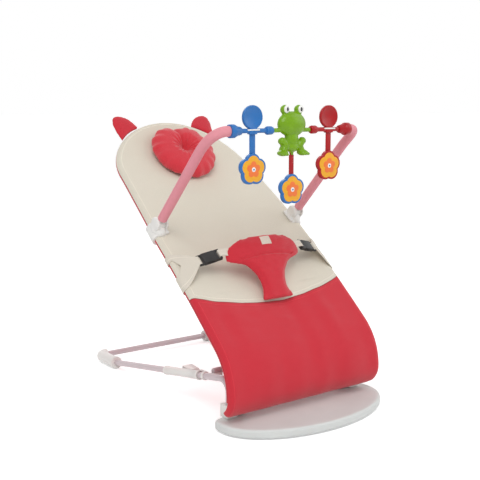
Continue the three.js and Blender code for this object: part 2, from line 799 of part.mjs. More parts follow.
function headPillow() {
  const count = PILLOW_GATHERS * 2;
  const middle = BACK_START + PILLOW_ALONG;
  const place = (turn, share, lift) => {
    const gather = PILLOW_GATHER_DEPTH * Math.cos(turn * PILLOW_GATHERS) * share;
    const notch = PILLOW_NOTCH * share * Math.max(0, Math.sin(turn)) ** 10;
    const reach = share + gather / PILLOW_HALF_WIDTH;
    const out = PILLOW_HALF_WIDTH * reach * Math.cos(turn);
    const along = middle + PILLOW_HALF_LENGTH * reach * Math.sin(turn) - notch;
    return onSeat(out, along, PILLOW_REST + coverLift(out, along) + lift);
  };
  const under = [1, 0.5].map((share) => ring(count, (turn) => place(turn, share * 0.94, 0)));
  const over = PILLOW_RINGS.map(([share, lift]) =>
    ring(count, (turn) => place(turn, share, lift * (1 + 0.06 * share * Math.cos(turn * PILLOW_GATHERS)))),
  ).reverse();
  return loft([...under.reverse(), ...over]);
}

// The waist pad: rows from its seam at the seat up to its top edge, as shares of its length.
const PAD_ROWS = [
  { length: 0, half: PAD_NECK_HALF * 1.25 },
  { length: 0.16, half: PAD_NECK_HALF },
  { length: 0.36, half: PAD_NECK_HALF * 1.16 },
  { length: 0.54, half: PAD_NECK_HALF * 1.6 },
  { length: 0.68, half: PAD_BAND_HALF * 0.88 },
  { length: 0.76, half: PAD_BAND_HALF, crease: 1 },
  { length: 0.86, half: PAD_BAND_HALF },
  { length: 0.95, half: PAD_BAND_HALF * 0.84 },
  { length: 1, half: PAD_BAND_HALF * 0.62 },
];

function padPoint(out, length, lift) {
  const along = BACK_START + THREE.MathUtils.lerp(PAD_START, PAD_END, length);
  const rise = PAD_LIFT * length ** 1.15;
  const droop = PAD_DROOP * (out / PAD_BAND_HALF) ** 2 * Math.min(1, length * 1.4);
  return onSeat(out, along, COVER_SLACK + PAD_HEM / 2 + rise - droop + lift);
}

const PAD_ACROSS = [0, 0.35, 0.65, 0.88, 1];
const PAD_COLUMNS = [...PAD_ACROSS.slice(1).map((share) => -share).reverse(), ...PAD_ACROSS];

function waistPad() {
  const face = (side) =>
    PAD_ROWS.map(({ length, half, crease = 0 }) =>
      PAD_COLUMNS.map((share) => {
        const crown = Math.sqrt(1 - share ** 4) * Math.sqrt(Math.sin(Math.PI * (0.08 + 0.84 * length)));
        const fold = side > 0 ? PAD_CREASE * crease * (1 - share ** 2) : 0;
        return padPoint(share * half, length, side * (PAD_HEM + (PAD_THICKNESS - PAD_HEM) * crown) / 2 - fold);
      }),
    );
  return shell(face(1), face(-1));
}

function padLabel() {
  const lengths = [LABEL_ROW_SHARE - LABEL_HEIGHT / (PAD_END - PAD_START) / 2, LABEL_ROW_SHARE];
  const outs = steps(-LABEL_WIDTH / 2, LABEL_WIDTH / 2, 2);
  const rows = (lift) => lengths.map((length) => outs.map((out) => padPoint(out, length, LABEL_LIFT + lift)));
  return shell(rows(LABEL_THICKNESS), rows(0));
}

// The base

const SIDE_FALL = (COLLAR_HEIGHT - SIDE_TUBE_END_HEIGHT) / (ELBOW_START - COLLAR_BACK);

function onSideTube(sign, back) {
  return at(sign * BASE_HALF_WIDTH, back, COLLAR_HEIGHT - SIDE_FALL * (back - COLLAR_BACK));
}

function sideRod(sign, from, to, radius) {
  return tube([onSideTube(sign, from), onSideTube(sign, to)], radius);
}

// The foot plate's outline: half an ellipse in front, a straight edge with round corners behind.
function plateShape(inset) {
  const half = PLATE_HALF_WIDTH - inset;
  const corner = PLATE_CORNER - inset;
  const arc = (centre, wide, deep, from, to, count) =>
    steps(from, to, count).map(
      (turn) => new THREE.Vector2(centre + wide * Math.cos(turn), deep * Math.sin(turn)),
    );
  return new THREE.Shape([
    ...arc(0, half, PLATE_FRONT - inset, -Math.PI, 0, PLATE_STEPS),
    ...arc(half - corner, corner, PLATE_REAR - inset, 0, Math.PI / 2, BEND_STEPS + 1).slice(1),
    ...arc(corner - half, corner, PLATE_REAR - inset, Math.PI / 2, Math.PI, BEND_STEPS + 1).slice(0, -1),
  ]);
}

function plateLayer(inset, low, high, edge = 0) {
  const bevel = { bevelEnabled: edge > 0, bevelThickness: edge, bevelSize: edge, bevelSegments: 2 };
  const depth = high - low - 2 * edge;
  const made = new THREE.ExtrudeGeometry(plateShape(inset + edge), { depth, ...bevel });
  return made.translate(0, 0, low + edge);
}

function footPlate(group) {
  const pocket = plateLayer(PLATE_WALL, -CUT_OVERRUN, PLATE_TOP - PLATE_WALL);
  piece(group, "foot_plate_top", "white", cut(plateLayer(0, PAD_HEIGHT, PLATE_TOP, PLATE_EDGE), pocket));
  const panTop = PAD_HEIGHT + PLATE_PAN_HEIGHT;
  piece(group, "foot_plate_pan", "white", plateLayer(PLATE_WALL + SEAT_GAP, PAD_HEIGHT, panTop));
  bothSides((sign, side) => {
    const pad = block(PAD_LENGTH, PAD_WIDTH, PAD_HEIGHT - SEAT_GAP);
    pad.translate(sign * PAD_OUT, -PLATE_FRONT * PAD_BACK_SHARE, (PAD_HEIGHT - SEAT_GAP) / 2);
    piece(group, `floor_pad_${side}`, "rubber", pad);
  });
}

// A polygon of [back, height] corners between two distances out from the middle, on the side of sign.
function sideSlab(sign, corners, inner, outer) {
  return slab(corners, sign > 0 ? inner : -outer, sign > 0 ? outer : -inner);
}

function upright(sign, front, back, low, high, inner, outer) {
  const corners = [
    [front, low],
    [back, low],
    [back, high],
    [front, high],
  ];
  return sideSlab(sign, corners, inner, outer);
}

function onHinge(sign, geometry, shift = 0) {
  return geometry.translate(sign * (HINGE_OUT + shift), HINGE_BACK, HINGE_HEIGHT);
}

const PIN_LENGTH = LUG_WIDTH + 2 * (RUN_GAP + EAR_WALL);

// The socket that holds the front tube's leg and carries the clevis of the seat hinge.
function frontSocket(sign) {
  const low = PLATE_TOP + SEAT_GAP;
  const [inner, outer] = [BASE_HALF_WIDTH - SOCKET_HALF_WIDTH, BASE_HALF_WIDTH + SOCKET_HALF_WIDTH];
  const cup = upright(sign, SOCKET_FRONT, SOCKET_BACK, low, SOCKET_TOP, inner, outer);
  const [front, back] = [HINGE_BACK - EAR_RADIUS, HINGE_BACK + EAR_RADIUS];
  const foot = upright(sign, front, back, low, low + SOCKET_FLOOR, FOOT_INNER, inner + CUT_OVERRUN);
  const offset = (LUG_WIDTH + EAR_WALL) / 2 + RUN_GAP;
  const ears = [-offset, offset].flatMap((shift) => {
    const inside = HINGE_OUT + shift - EAR_WALL / 2;
    const post = upright(sign, front, back, low, HINGE_HEIGHT, inside, inside + EAR_WALL);
    return [post, onHinge(sign, rod(EAR_RADIUS, EAR_WALL, FINE_ROUND), shift)];
  });
  const heights = [SOCKET_TOP - SOCKET_GRIP, SOCKET_TOP + CUT_OVERRUN];
  const bore = tube(
    heights.map((height) => at(sign * BASE_HALF_WIDTH, FRONT_LEG_BACK, height)),
    TUBE_RADIUS + SEAT_GAP,
  );
  const pinHole = onHinge(sign, rod(PIN_RADIUS + SEAT_GAP, PIN_LENGTH + SEAT_GAP));
  return cut(join(cup, foot, ...ears), bore, pinHole);
}

// The pin has a head at its inner end.
function hingePin(sign) {
  const shank = onHinge(sign, rod(PIN_RADIUS, PIN_LENGTH + 2 * PIN_HEAD), -PIN_HEAD);
  const head = onHinge(sign, rod(PIN_HEAD_RADIUS, PIN_HEAD), -(PIN_LENGTH / 2 + SEAT_GAP + PIN_HEAD / 2));
  return join(shank, head);
}

function frontTube(sign) {
  const corner = onSideTube(sign, FRONT_LEG_BACK);
  const foot = at(corner.x, corner.y, SOCKET_TOP - SOCKET_GRIP + SEAT_GAP);
  const far = onSideTube(sign, ADAPTER_FRONT + ADAPTER_GRIP);
  return tube(bent([foot, corner, far], FRONT_TUBE_BEND), TUBE_RADIUS);
}

function collar(sign) {
  const [front, back] = [COLLAR_BACK - COLLAR_LENGTH / 2, COLLAR_BACK + COLLAR_LENGTH / 2];
  const outside = sideRod(sign, front, back, TUBE_RADIUS + SEAT_GAP + COLLAR_LIP);
  return cut(outside, sideRod(sign, front - CUT_OVERRUN, back + CUT_OVERRUN, TUBE_RADIUS + SEAT_GAP));
}

function sideTube(sign) {
  return sideRod(sign, ADAPTER_BACK - ADAPTER_GRIP, ELBOW_START + ELBOW_GRIP, TUBE_RADIUS);
}

function rearElbow() {
  const corner = at(BASE_HALF_WIDTH, ELBOW_BACK, ELBOW_HEIGHT);
  const neck = at(BASE_HALF_WIDTH, ELBOW_START + ELBOW_GRIP, ELBOW_HEIGHT);
  const inner = at(ELBOW_INNER, ELBOW_BACK, ELBOW_HEIGHT);
  const body = tube(bent([onSideTube(1, ELBOW_START), neck, corner, inner], ELBOW_BEND), ELBOW_RADIUS);
  const [front, back] = [ELBOW_BACK - SOLE_HALF_WIDTH, ELBOW_BACK + SOLE_HALF_WIDTH];
  const [inside, outside] = [ELBOW_INNER + SOLE_INSET, BASE_HALF_WIDTH - SOLE_INSET];
  const sole = upright(1, front, back, 0, ELBOW_HEIGHT, inside, outside);
  const grip = [ELBOW_START - CUT_OVERRUN, ELBOW_START + ELBOW_GRIP + SEAT_GAP];
  const side = sideRod(1, ...grip, TUBE_RADIUS + SEAT_GAP);
  const bar = rod(TUBE_RADIUS + SEAT_GAP, 2 * (CROSSBAR_GRIP + SEAT_GAP));
  return cut(join(body, sole), side, bar.translate(ELBOW_INNER, ELBOW_BACK, ELBOW_HEIGHT));
}

function rearCrossbar() {
  return rod(TUBE_RADIUS, 2 * (ELBOW_INNER + CROSSBAR_GRIP)).translate(0, ELBOW_BACK, ELBOW_HEIGHT);
}

// Places of the prop as the seat folds. Turn is how far the seat has turned back from its first notch.

function swung(point, centre, turn) {
  const [back, height] = [point.y - centre.y, point.z - centre.z];
  const [level, rise] = [Math.cos(turn), Math.sin(turn)];
  return at(point.x, centre.y + level * back - rise * height, centre.z + rise * back + level * height);
}

function propPivot(out = 0) {
  return onSeat(out, BACK_START + PROP_BAR_ALONG, -PROP_BAR_DROP);
}

function footAt(turn) {
  const foot = swung(at(0, PROP_FOOT_BACK, PROP_FOOT_HEIGHT), propPivot(), PROP_RATIO * turn);
  return swung(foot, at(0, HINGE_BACK, HINGE_HEIGHT), -turn);
}

// A point under the foot bar's path, square to the path.
function underFoot(turn, distance) {
  const here = footAt(turn);
  const way = footAt(turn + TURN_STEP).sub(here).normalize();
  return [here.y + way.z * distance, here.z - way.y * distance];
}

function rackProfile() {
  const floor = steps(0, RACK_TURN, 4).map((turn) =>
    underFoot(turn, TUBE_RADIUS + (turn > 0 ? RACK_PLAY : SEAT_GAP)),
  );
  const stop = PROP_FOOT_BACK - TUBE_RADIUS - RACK_PLAY / 2;
  const fall = (floor[1][1] - floor[0][1]) / (floor[1][0] - floor[0][0]);
  const heel = [stop, floor[0][1] + fall * (stop - floor[0][0])];
  const lipTop = PROP_FOOT_HEIGHT - RACK_LIP_DROP;
  const under = [heel, ...floor].map(([back, height]) => [back, height - RACK_WALL]);
  const front = [
    [stop - RACK_LIP, under[0][1]],
    [stop - RACK_LIP, lipTop],
    [stop, lipTop],
  ];
  return [...front, heel, ...floor, ...under.reverse()];
}

// The sleeve between the front tube and the side tube, with the rack for the prop's foot bar on its
// inner side.
function adapter() {
  const sleeve = sideRod(1, ADAPTER_FRONT, ADAPTER_BACK, ADAPTER_RADIUS);
  const rack = sideSlab(1, rackProfile(), RACK_INNER, RACK_OUTER);
  const ends = [ADAPTER_FRONT + RACK_LIP, underFoot(RACK_TURN, 0)[0]];
  const [low, high] = [-RACK_WALL / 2, RACK_WALL / 2].map((shift) =>
    ends.map((back) => [back, onSideTube(1, back).z + shift]),
  );
  const bridge = sideSlab(1, [...low, ...high.reverse()], RACK_OUTER - SEAT_GAP, RACK_OUTER + RACK_BRIDGE);
  const notches = NOTCH_TURNS.map((turn) => {
    const notch = rod(TUBE_RADIUS + SEAT_GAP, 2 * (PROP_FOOT_HALF_LENGTH + CUT_OVERRUN - RACK_INNER));
    return notch.translate(RACK_INNER, ...underFoot(turn, NOTCH_DROP));
  });
  const grip = (from, to) => sideRod(1, from, to, TUBE_RADIUS + SEAT_GAP);
  const front = grip(ADAPTER_FRONT - CUT_OVERRUN, ADAPTER_FRONT + ADAPTER_GRIP + SEAT_GAP);
  const rear = grip(ADAPTER_BACK - ADAPTER_GRIP - SEAT_GAP, ADAPTER_BACK + CUT_OVERRUN);
  return cut(join(sleeve, rack, bridge), ...notches, front, rear);
}

function propLeg(from, to, radius) {
  const foot = at(PROP_LEG_OUT, PROP_FOOT_BACK, PROP_FOOT_HEIGHT);
  const run = foot.clone().sub(propPivot(PROP_LEG_OUT));
  const place = (distance) => propPivot(PROP_LEG_OUT).add(run.clone().setLength(distance));
  return tube([place(from), place(Math.min(to, run.length()))], radius);
}

function propFrame() {
  const leg = propLeg(TUBE_RADIUS + PROP_SLEEVE_WALL, Infinity, PROP_LEG_RADIUS);
  const foot = rod(TUBE_RADIUS, 2 * PROP_FOOT_HALF_LENGTH).translate(0, PROP_FOOT_BACK, PROP_FOOT_HEIGHT);
  return join(foot, leg, mirrored(leg));
}

function propSleeve() {
  const pivot = propPivot(PROP_LEG_OUT);
  const sleeve = rod(TUBE_RADIUS + RUN_GAP + PROP_SLEEVE_WALL, PROP_SLEEVE_LENGTH, FINE_ROUND);
  const boss = propLeg(TUBE_RADIUS, PROP_BOSS_REACH, PROP_LEG_RADIUS + PROP_SLEEVE_WALL);
  const bore = rod(TUBE_RADIUS + RUN_GAP, PROP_SLEEVE_LENGTH + CUT_OVERRUN, FINE_ROUND);
  bore.translate(...pivot.toArray());
  const legBore = propLeg(TUBE_RADIUS, PROP_BOSS_REACH + CUT_OVERRUN, PROP_LEG_RADIUS + SEAT_GAP);
  return cut(join(sleeve.translate(...pivot.toArray()), boss), bore, legBore);
}

// Straps and buckles. They are built on the right side.

// The frame of a place over the sheet: across, along the sheet, and off it. Tilt leans it outwards.
function seatFrame(out, along, lift, tilt = 0) {
  const { heading } = profileAt(along);
  const sheet = at(0, Math.cos(heading), Math.sin(heading));
  const normal = at(0, -Math.sin(heading), Math.cos(heading));
  const across = at(Math.cos(tilt), 0, 0).addScaledVector(normal, -Math.sin(tilt));
  const off = at(Math.sin(tilt), 0, 0).addScaledVector(normal, Math.cos(tilt));
  return new THREE.Matrix4().makeBasis(across, sheet, off).setPosition(onSeat(out, along, lift));
}

function buckleFrame() {
  return seatFrame(BUCKLE_OUT, BACK_START + BUCKLE_ALONG, BUCKLE_LIFT, BUCKLE_TILT);
}

// A box between two corners along each of its axes.
function box([left, right], [front, back], [low, high]) {
  const made = block(right - left, back - front, high - low);
  return made.translate((left + right) / 2, (front + back) / 2, (low + high) / 2);
}

function both(half) {
  return [-half, half];
}

const LOOP_END = SOCKET_HALF_LENGTH + BUCKLE_LOOP;
const LOOP_HALF_DEPTH = BUCKLE_HALF_DEPTH - BUCKLE_WALL;
const TONGUE_START = -SOCKET_HALF_LENGTH - SEAT_GAP;
const TONGUE_END = TONGUE_START - TONGUE_LENGTH;

function buckleSocket() {
  const inside = BUCKLE_HALF_WIDTH - BUCKLE_WALL;
  const body = box(both(SOCKET_HALF_LENGTH), both(BUCKLE_HALF_WIDTH), both(BUCKLE_HALF_DEPTH));
  const loop = box([SOCKET_HALF_LENGTH - BUCKLE_WALL, LOOP_END], both(BUCKLE_HALF_WIDTH), both(LOOP_HALF_DEPTH));
  const slot = box(
    [SOCKET_HALF_LENGTH + BUCKLE_BAR, LOOP_END - BUCKLE_BAR],
    both(STRAP_HALF_NARROW + RUN_GAP),
    both(BUCKLE_HALF_DEPTH),
  );
  const cavity = box(
    [-SOCKET_HALF_LENGTH - CUT_OVERRUN, SOCKET_HALF_LENGTH - 2 * BUCKLE_WALL],
    both(inside),
    both(LOOP_HALF_DEPTH),
  );
  const windows = box(
    [-SOCKET_HALF_LENGTH / 2 - RUN_GAP, PRONG_REACH + RUN_GAP],
    both(BUCKLE_HALF_WIDTH + CUT_OVERRUN),
    both(PRONG_HALF_DEPTH + SEAT_GAP),
  );
  return cut(join(body, loop), slot, cavity, windows).applyMatrix4(buckleFrame());
}

function buckleTongue() {
  const halfWidth = BUCKLE_HALF_WIDTH - SEAT_GAP;
  const body = box([TONGUE_END, TONGUE_START], both(halfWidth), both(BUCKLE_HALF_DEPTH - SEAT_GAP));
  const slot = box(
    [TONGUE_END + BUCKLE_BAR, TONGUE_END + BUCKLE_BAR + BUCKLE_HALF_DEPTH],
    both(TAB_HALF_WIDTH + RUN_GAP),
    both(BUCKLE_HALF_DEPTH),
  );
  const guide = box([TONGUE_START - BUCKLE_WALL, PRONG_REACH], both(PRONG_HALF_DEPTH), both(PRONG_HALF_DEPTH));
  return cut(join(body, guide), slot).applyMatrix4(buckleFrame());
}

// One of the two sprung prongs, whose tip shows in the socket's side window.
function prong(side) {
  const arm = box([-SOCKET_HALF_LENGTH, PRONG_REACH], PRONG_ARM, both(PRONG_HALF_DEPTH));
  const tip = box([-SOCKET_HALF_LENGTH / 2, PRONG_REACH], [PRONG_ARM[0], PRONG_TIP], both(PRONG_HALF_DEPTH));
  return join(arm, tip).scale(1, side, 1).applyMatrix4(buckleFrame());
}

// A station of a band that lies along the buckle: its middle, its outer side's direction and half width.
function buckleStation(out, lift, lean, half, thickness) {
  const frame = buckleFrame();
  const face = (shift, side) => {
    const off = (side * thickness) / 2;
    return at(out + off * Math.sin(lean), shift, lift + off * Math.cos(lean)).applyMatrix4(frame);
  };
  return { half, face };
}

function railStation(turn, half) {
  const face = (shift, side) => {
    const along = BACK_START + BUCKLE_ALONG + shift;
    const reach = WRAP + 2 * SEAT_GAP + (STRAP_THICKNESS * (1 + side)) / 2;
    const rail = halfWidth(along) - WRAP;
    return onSeat(rail + reach * Math.cos(turn), along, -WRAP + reach * Math.sin(turn));
  };
  return { half, face };
}

function between(first, last, share, half) {
  return { half, face: (shift, side) => first.face(shift, side).lerp(last.face(shift, side), share) };
}

function band(stations) {
  const shares = [-1, -0.5, 0, 0.5, 1];
  const rows = (side) => stations.map(({ half, face }) => shares.map((share) => face(share * half, side)));
  return shell(rows(1), rows(-1));
}

const RIGHT_ANGLE = Math.PI / 2;

// The webbing's route round a bar: middle is the bar's place, hook says which way the end turns down.
function hooked(middle, barHalfDepth, hook, half, thickness) {
  const clear = thickness / 2 + SEAT_GAP;
  const [top, side] = [barHalfDepth + clear, BUCKLE_BAR / 2 + clear + SEAT_GAP];
  const station = (out, lift, lean) => buckleStation(middle + hook * out, lift, hook * lean, half, thickness);
  return [
    station(side, -barHalfDepth, RIGHT_ANGLE),
    station(side, barHalfDepth - clear, RIGHT_ANGLE),
    station(side - clear / 2, barHalfDepth + clear / 2, RIGHT_ANGLE / 2),
    station(0, top + SEAT_GAP, 0),
    station(-side, top, 0),
  ];
}

function strap() {
  const hook = hooked(LOOP_END - BUCKLE_BAR / 2, LOOP_HALF_DEPTH, -1, STRAP_HALF_NARROW, STRAP_THICKNESS);
  const [from, to] = [hook[hook.length - 1], railStation(STRAP_WRAP[0], STRAP_HALF_WIDE)];
  const wing = steps(0, 1, 4)
    .slice(1, -1)
    .map((share) => between(from, to, share, THREE.MathUtils.lerp(from.half, to.half, share ** 1.5)));
  const round = steps(...STRAP_WRAP, 4).map((turn) => railStation(turn, STRAP_HALF_WIDE));
  return band([...hook, ...wing, ...round]);
}

function padTab() {
  const hook = hooked(TONGUE_END + BUCKLE_BAR / 2, BUCKLE_HALF_DEPTH, 1, TAB_HALF_WIDTH, TAB_THICKNESS);
  const length = (BUCKLE_ALONG - PAD_START) / (PAD_END - PAD_START);
  const face = (shift, side) =>
    padPoint(PAD_BAND_HALF * PAD_TAB_SHARE, length + shift / (PAD_END - PAD_START), (side * TAB_THICKNESS) / 2);
  return band([...hook, { half: TAB_HALF_WIDTH, face }]);
}

// Toy arch. It is built on the right side.

function railOut(along) {
  return halfWidth(along) - WRAP;
}

const PIVOT_ALONG = BACK_START + ARCH_ALONG;
const PIVOT_OUT = railOut(PIVOT_ALONG) + ARCH_SHIFT;
const PIVOT = onSeat(PIVOT_OUT, PIVOT_ALONG, ARCH_LIFT);
const BAR = at(0, PIVOT.y - BAR_FORWARD, PIVOT.z + BAR_RISE);

function archClamp() {
  const inner = WRAP + SEAT_GAP + SEAM_GAP;
  const outer = inner + CLAMP_WALL;
  const half = CLAMP_LENGTH / 2;
  const sleeve = (radius, length) => new THREE.CylinderGeometry(radius, radius, length, 2 * ROUND);
  const flange = box([-CLAMP_FLANGE, 0], both(half), [inner, outer]);
  const pivotLift = ARCH_LIFT + WRAP;
  const offset = ARCH_HUB_WIDTH / 2 + RUN_GAP + CLEVIS_WALL / 2;
  const walls = [-offset, offset].flatMap((shift) => {
    const out = ARCH_SHIFT + shift;
    const sides = [out - CLEVIS_WALL / 2, out + CLEVIS_WALL / 2];
    const wall = box(sides, both(CLEVIS_RADIUS), [inner - CLAMP_WALL, pivotLift]);
    const inwards = shift - Math.sign(shift) * (STUB_LENGTH / 2);
    return [
      wall,
      rod(CLEVIS_RADIUS, CLEVIS_WALL, FINE_ROUND).translate(out, 0, pivotLift),
      rod(STUB_RADIUS, STUB_LENGTH).translate(ARCH_SHIFT + inwards, 0, pivotLift),
    ];
  });
  const inboard = box([-2 * CLAMP_FLANGE, 0], both(CLAMP_LENGTH), [-2 * outer, inner]);
  const solid = cut(join(sleeve(outer, CLAMP_LENGTH), flange, ...walls), inboard);
  const bore = tube(railPath([PIVOT_ALONG - CLAMP_LENGTH, PIVOT_ALONG + CLAMP_LENGTH], 1), inner, FINE_ROUND);
  return cut(solid.applyMatrix4(seatFrame(railOut(PIVOT_ALONG), PIVOT_ALONG, -WRAP)), bore);
}

// The arch tube's middle line from a length past the pivot to a place out from the middle.
function archRoute(start, endOut) {
  const climb = at(0, -Math.cos(ARCH_CLIMB), Math.sin(ARCH_CLIMB));
  const bend = PIVOT.clone().addScaledVector(climb, ARCH_STRAIGHT);
  const level = at(CUP_OUT + ARCH_LEVEL, BAR.y, BAR.z);
  const curve = new THREE.CubicBezierCurve3(
    bend,
    bend.clone().addScaledVector(climb, ARCH_EASE),
    level.clone().add(at(ARCH_EASE, 0, 0)),
    level,
  );
  const first = PIVOT.clone().addScaledVector(climb, start);
  return [first, ...curve.getPoints(ARCH_STEPS), at(endOut, BAR.y, BAR.z)];
}

function archTube() {
  const hub = rod(ARCH_HUB_RADIUS, ARCH_HUB_WIDTH, FINE_ROUND).translate(...PIVOT.toArray());
  const bores = [-1, 1].map((side) => {
    const middle = side * (ARCH_HUB_WIDTH / 2 - STUB_LENGTH / 2 + RUN_GAP);
    const bore = rod(STUB_RADIUS + RUN_GAP, STUB_LENGTH + 2 * RUN_GAP);
    return bore.translate(PIVOT.x + middle, PIVOT.y, PIVOT.z);
  });
  const arch = tube(archRoute(ARCH_HUB_RADIUS / 2, CUP_OUT - CUP_GRIP + SEAT_GAP), ARCH_TUBE_RADIUS);
  return cut(join(hub, arch), ...bores);
}

function armFoam() {
  const foam = tube(archRoute(FOAM_START, CUP_OUT + SEAT_GAP), FOAM_RADIUS);
  return cut(foam, tube(archRoute(0, CUP_OUT - CUT_OVERRUN), ARCH_TUBE_RADIUS + SEAT_GAP));
}

function onBar(geometry, out, drop = 0) {
  return geometry.translate(out, BAR.y, BAR.z - drop);
}

function endCup() {
  const neck = CUP_LENGTH + CUP_NECK_LENGTH;
  const body = join(
    onBar(rod(CUP_RADIUS, CUP_LENGTH, 2 * ROUND), CUP_OUT - CUP_LENGTH / 2),
    onBar(rod(CUP_NECK_RADIUS, neck, FINE_ROUND), CUP_OUT - neck / 2),
  );
  const tubeBore = onBar(rod(ARCH_TUBE_RADIUS + SEAT_GAP, 2 * CUP_GRIP), CUP_OUT);
  return cut(body, tubeBore, onBar(rod(ROD_RADIUS + SEAT_GAP, 2 * neck), CUP_OUT));
}

function paddle() {
  const middle = PADDLE_HALF_HEIGHT + ROD_RADIUS - PADDLE_SINK;
  const disc = (inset, thickness) => {
    const [wide, high] = [PADDLE_HALF_WIDTH - inset, PADDLE_HALF_HEIGHT - inset];
    return new THREE.CylinderGeometry(1, 1, thickness, 2 * ROUND).scale(wide, 1, high);
  };
  const dish = (side) => disc(PADDLE_RIM, 2 * PADDLE_DISH).translate(0, (side * PADDLE_THICKNESS) / 2, 0);
  return onBar(cut(disc(0, PADDLE_THICKNESS), dish(-1), dish(1)), TOY_OUT, -middle);
}

// One half of the toy bar, with its paddle, the keeper of its pendant and the coupler for the frog.
function toyBar() {
  const end = CUP_OUT - CUP_LENGTH - CUP_NECK_LENGTH + ROD_GRIP;
  const start = COUPLER_INNER + COUPLER_LENGTH / 2;
  const bar = onBar(rod(ROD_RADIUS, end - start), (end + start) / 2);
  const coupler = onBar(rod(COUPLER_RADIUS, COUPLER_LENGTH, COUPLER_SIDES), start);
  const inside = PENDANT_HALF_WIDTH + RUN_GAP;
  const floor = -HANG_DROP - KEEPER_FLOOR;
  const keeper = box(both(inside + KEEPER_WALL), both(KEEPER_HALF_DEPTH), [floor, 0]);
  const roof = -HANG_DROP + HANG_EYE_RADIUS + RUN_GAP;
  const pocket = box(both(inside), both(HANG_EYE_RADIUS + 2 * RUN_GAP), [floor - CUT_OVERRUN, roof]);
  const pin = rod(HANG_PIN_RADIUS, 2 * inside + KEEPER_WALL);
  const bore = onBar(rod(AXLE_PIN_RADIUS + SEAT_GAP, 2 * (AXLE_PIN_LENGTH + RUN_GAP)), COUPLER_INNER);
  const whole = cut(join(bar, coupler, onBar(keeper, TOY_OUT), paddle()), onBar(pocket, TOY_OUT), bore);
  return join(whole, onBar(pin, TOY_OUT, HANG_DROP));
}

function pendantStrap() {
  const low = -PENDANT_DROP + FLOWER_RADIUS - FLOWER_SLOT;
  const flat = box(both(PENDANT_HALF_WIDTH), both(PENDANT_THICKNESS / 2), [low, -HANG_DROP]);
  const eye = rod(HANG_EYE_RADIUS, 2 * PENDANT_HALF_WIDTH).translate(0, 0, -HANG_DROP);
  const bore = rod(HANG_PIN_RADIUS + SEAT_GAP, 2 * (PENDANT_HALF_WIDTH + RUN_GAP)).translate(0, 0, -HANG_DROP);
  return onBar(cut(join(flat, eye), bore), TOY_OUT);
}

// A flower of five round petals, upright and facing forwards, with a slot for its strap on top.
function flower(slotHalfWidth) {
  const outline = ring(PETALS * BEND_STEPS, (turn) => {
    const reach = FLOWER_RADIUS - FLOWER_EDGE - FLOWER_WAVE * (1 - Math.abs(Math.cos((PETALS * turn) / 2)));
    return new THREE.Vector2(reach * Math.sin(turn), reach * Math.cos(turn));
  });
  const bevel = { bevelSize: FLOWER_EDGE, bevelThickness: FLOWER_EDGE, bevelSegments: 2 };
  const depth = FLOWER_THICKNESS - 2 * FLOWER_EDGE;
  const disc = new THREE.ExtrudeGeometry(new THREE.Shape(outline), { depth, ...bevel });
  disc.translate(0, 0, FLOWER_EDGE - FLOWER_THICKNESS / 2).rotateX(Math.PI / 2);
  const bottom = FLOWER_RADIUS - FLOWER_SLOT - SEAT_GAP;
  const slotHalfDepth = PENDANT_THICKNESS / 2 + SEAT_GAP;
  const slot = box(both(slotHalfWidth + SEAT_GAP), both(slotHalfDepth), [bottom, FLOWER_RADIUS + CUT_OVERRUN]);
  return cut(disc, slot);
}

function ball([wide, deep, high], out, forward, rise, turn = 0, sides = ROUND) {
  const made = new THREE.SphereGeometry(1, sides, sides - BEND_STEPS).scale(wide, deep, high);
  return onBar(made.rotateY(turn).translate(out, -forward, 0), 0, -rise);
}

function frog() {
  const shapes = [
    ball(FROG_HEAD, 0, 0, FROG_HEAD_RISE),
    ball(FROG_BODY, 0, 0, -FROG_BODY_DROP),
    onBar(rod(AXLE_RADIUS, 2 * (COUPLER_INNER - RUN_GAP)), 0),
    onBar(rod(AXLE_PIN_RADIUS, 2 * (COUPLER_INNER + AXLE_PIN_LENGTH)), 0),
  ];
  for (const sign of [-1, 1]) {
    const eye = [FROG_EYE, FROG_EYE, FROG_EYE];
    const turn = -sign * FROG_LEG_TURN;
    shapes.push(ball(eye, sign * FROG_EYE_OUT, 0, FROG_EYE_RISE, 0, LIMB_ROUND));
    shapes.push(ball(FROG_THIGH, sign * FROG_LEG_OUT, 0, -FROG_THIGH_DROP, turn, LIMB_ROUND));
    shapes.push(ball(FROG_FOOT, sign * FROG_FOOT_OUT, FROG_FOOT_FORWARD, -FROG_FOOT_DROP, 0, LIMB_ROUND));
    const wall = box(both(TAG_EYE_RADIUS), tagWall(sign), [-TAG_PIN_DROP - TAG_EYE_RADIUS, -FROG_BODY_DROP]);
    shapes.push(onBar(wall, 0));
  }
  const gap = box(both(TAG_HALF_WIDTH + RUN_GAP), both(PENDANT_THICKNESS / 2 + RUN_GAP), tagPocket());
  const pin = new THREE.CylinderGeometry(HANG_PIN_RADIUS, HANG_PIN_RADIUS, tagWall(1)[1] * 2 - TAG_WALL, ROUND);
  return join(cut(join(...shapes), onBar(gap, 0)), onBar(pin, 0, TAG_PIN_DROP));
}

function tagWall(sign) {
  const inner = PENDANT_THICKNESS / 2 + RUN_GAP;
  return sign > 0 ? [inner, inner + TAG_WALL] : [-inner - TAG_WALL, -inner];
}

function tagPocket() {
  return [-TAG_PIN_DROP - 2 * TAG_EYE_RADIUS, -TAG_PIN_DROP + TAG_EYE_RADIUS + RUN_GAP];
}

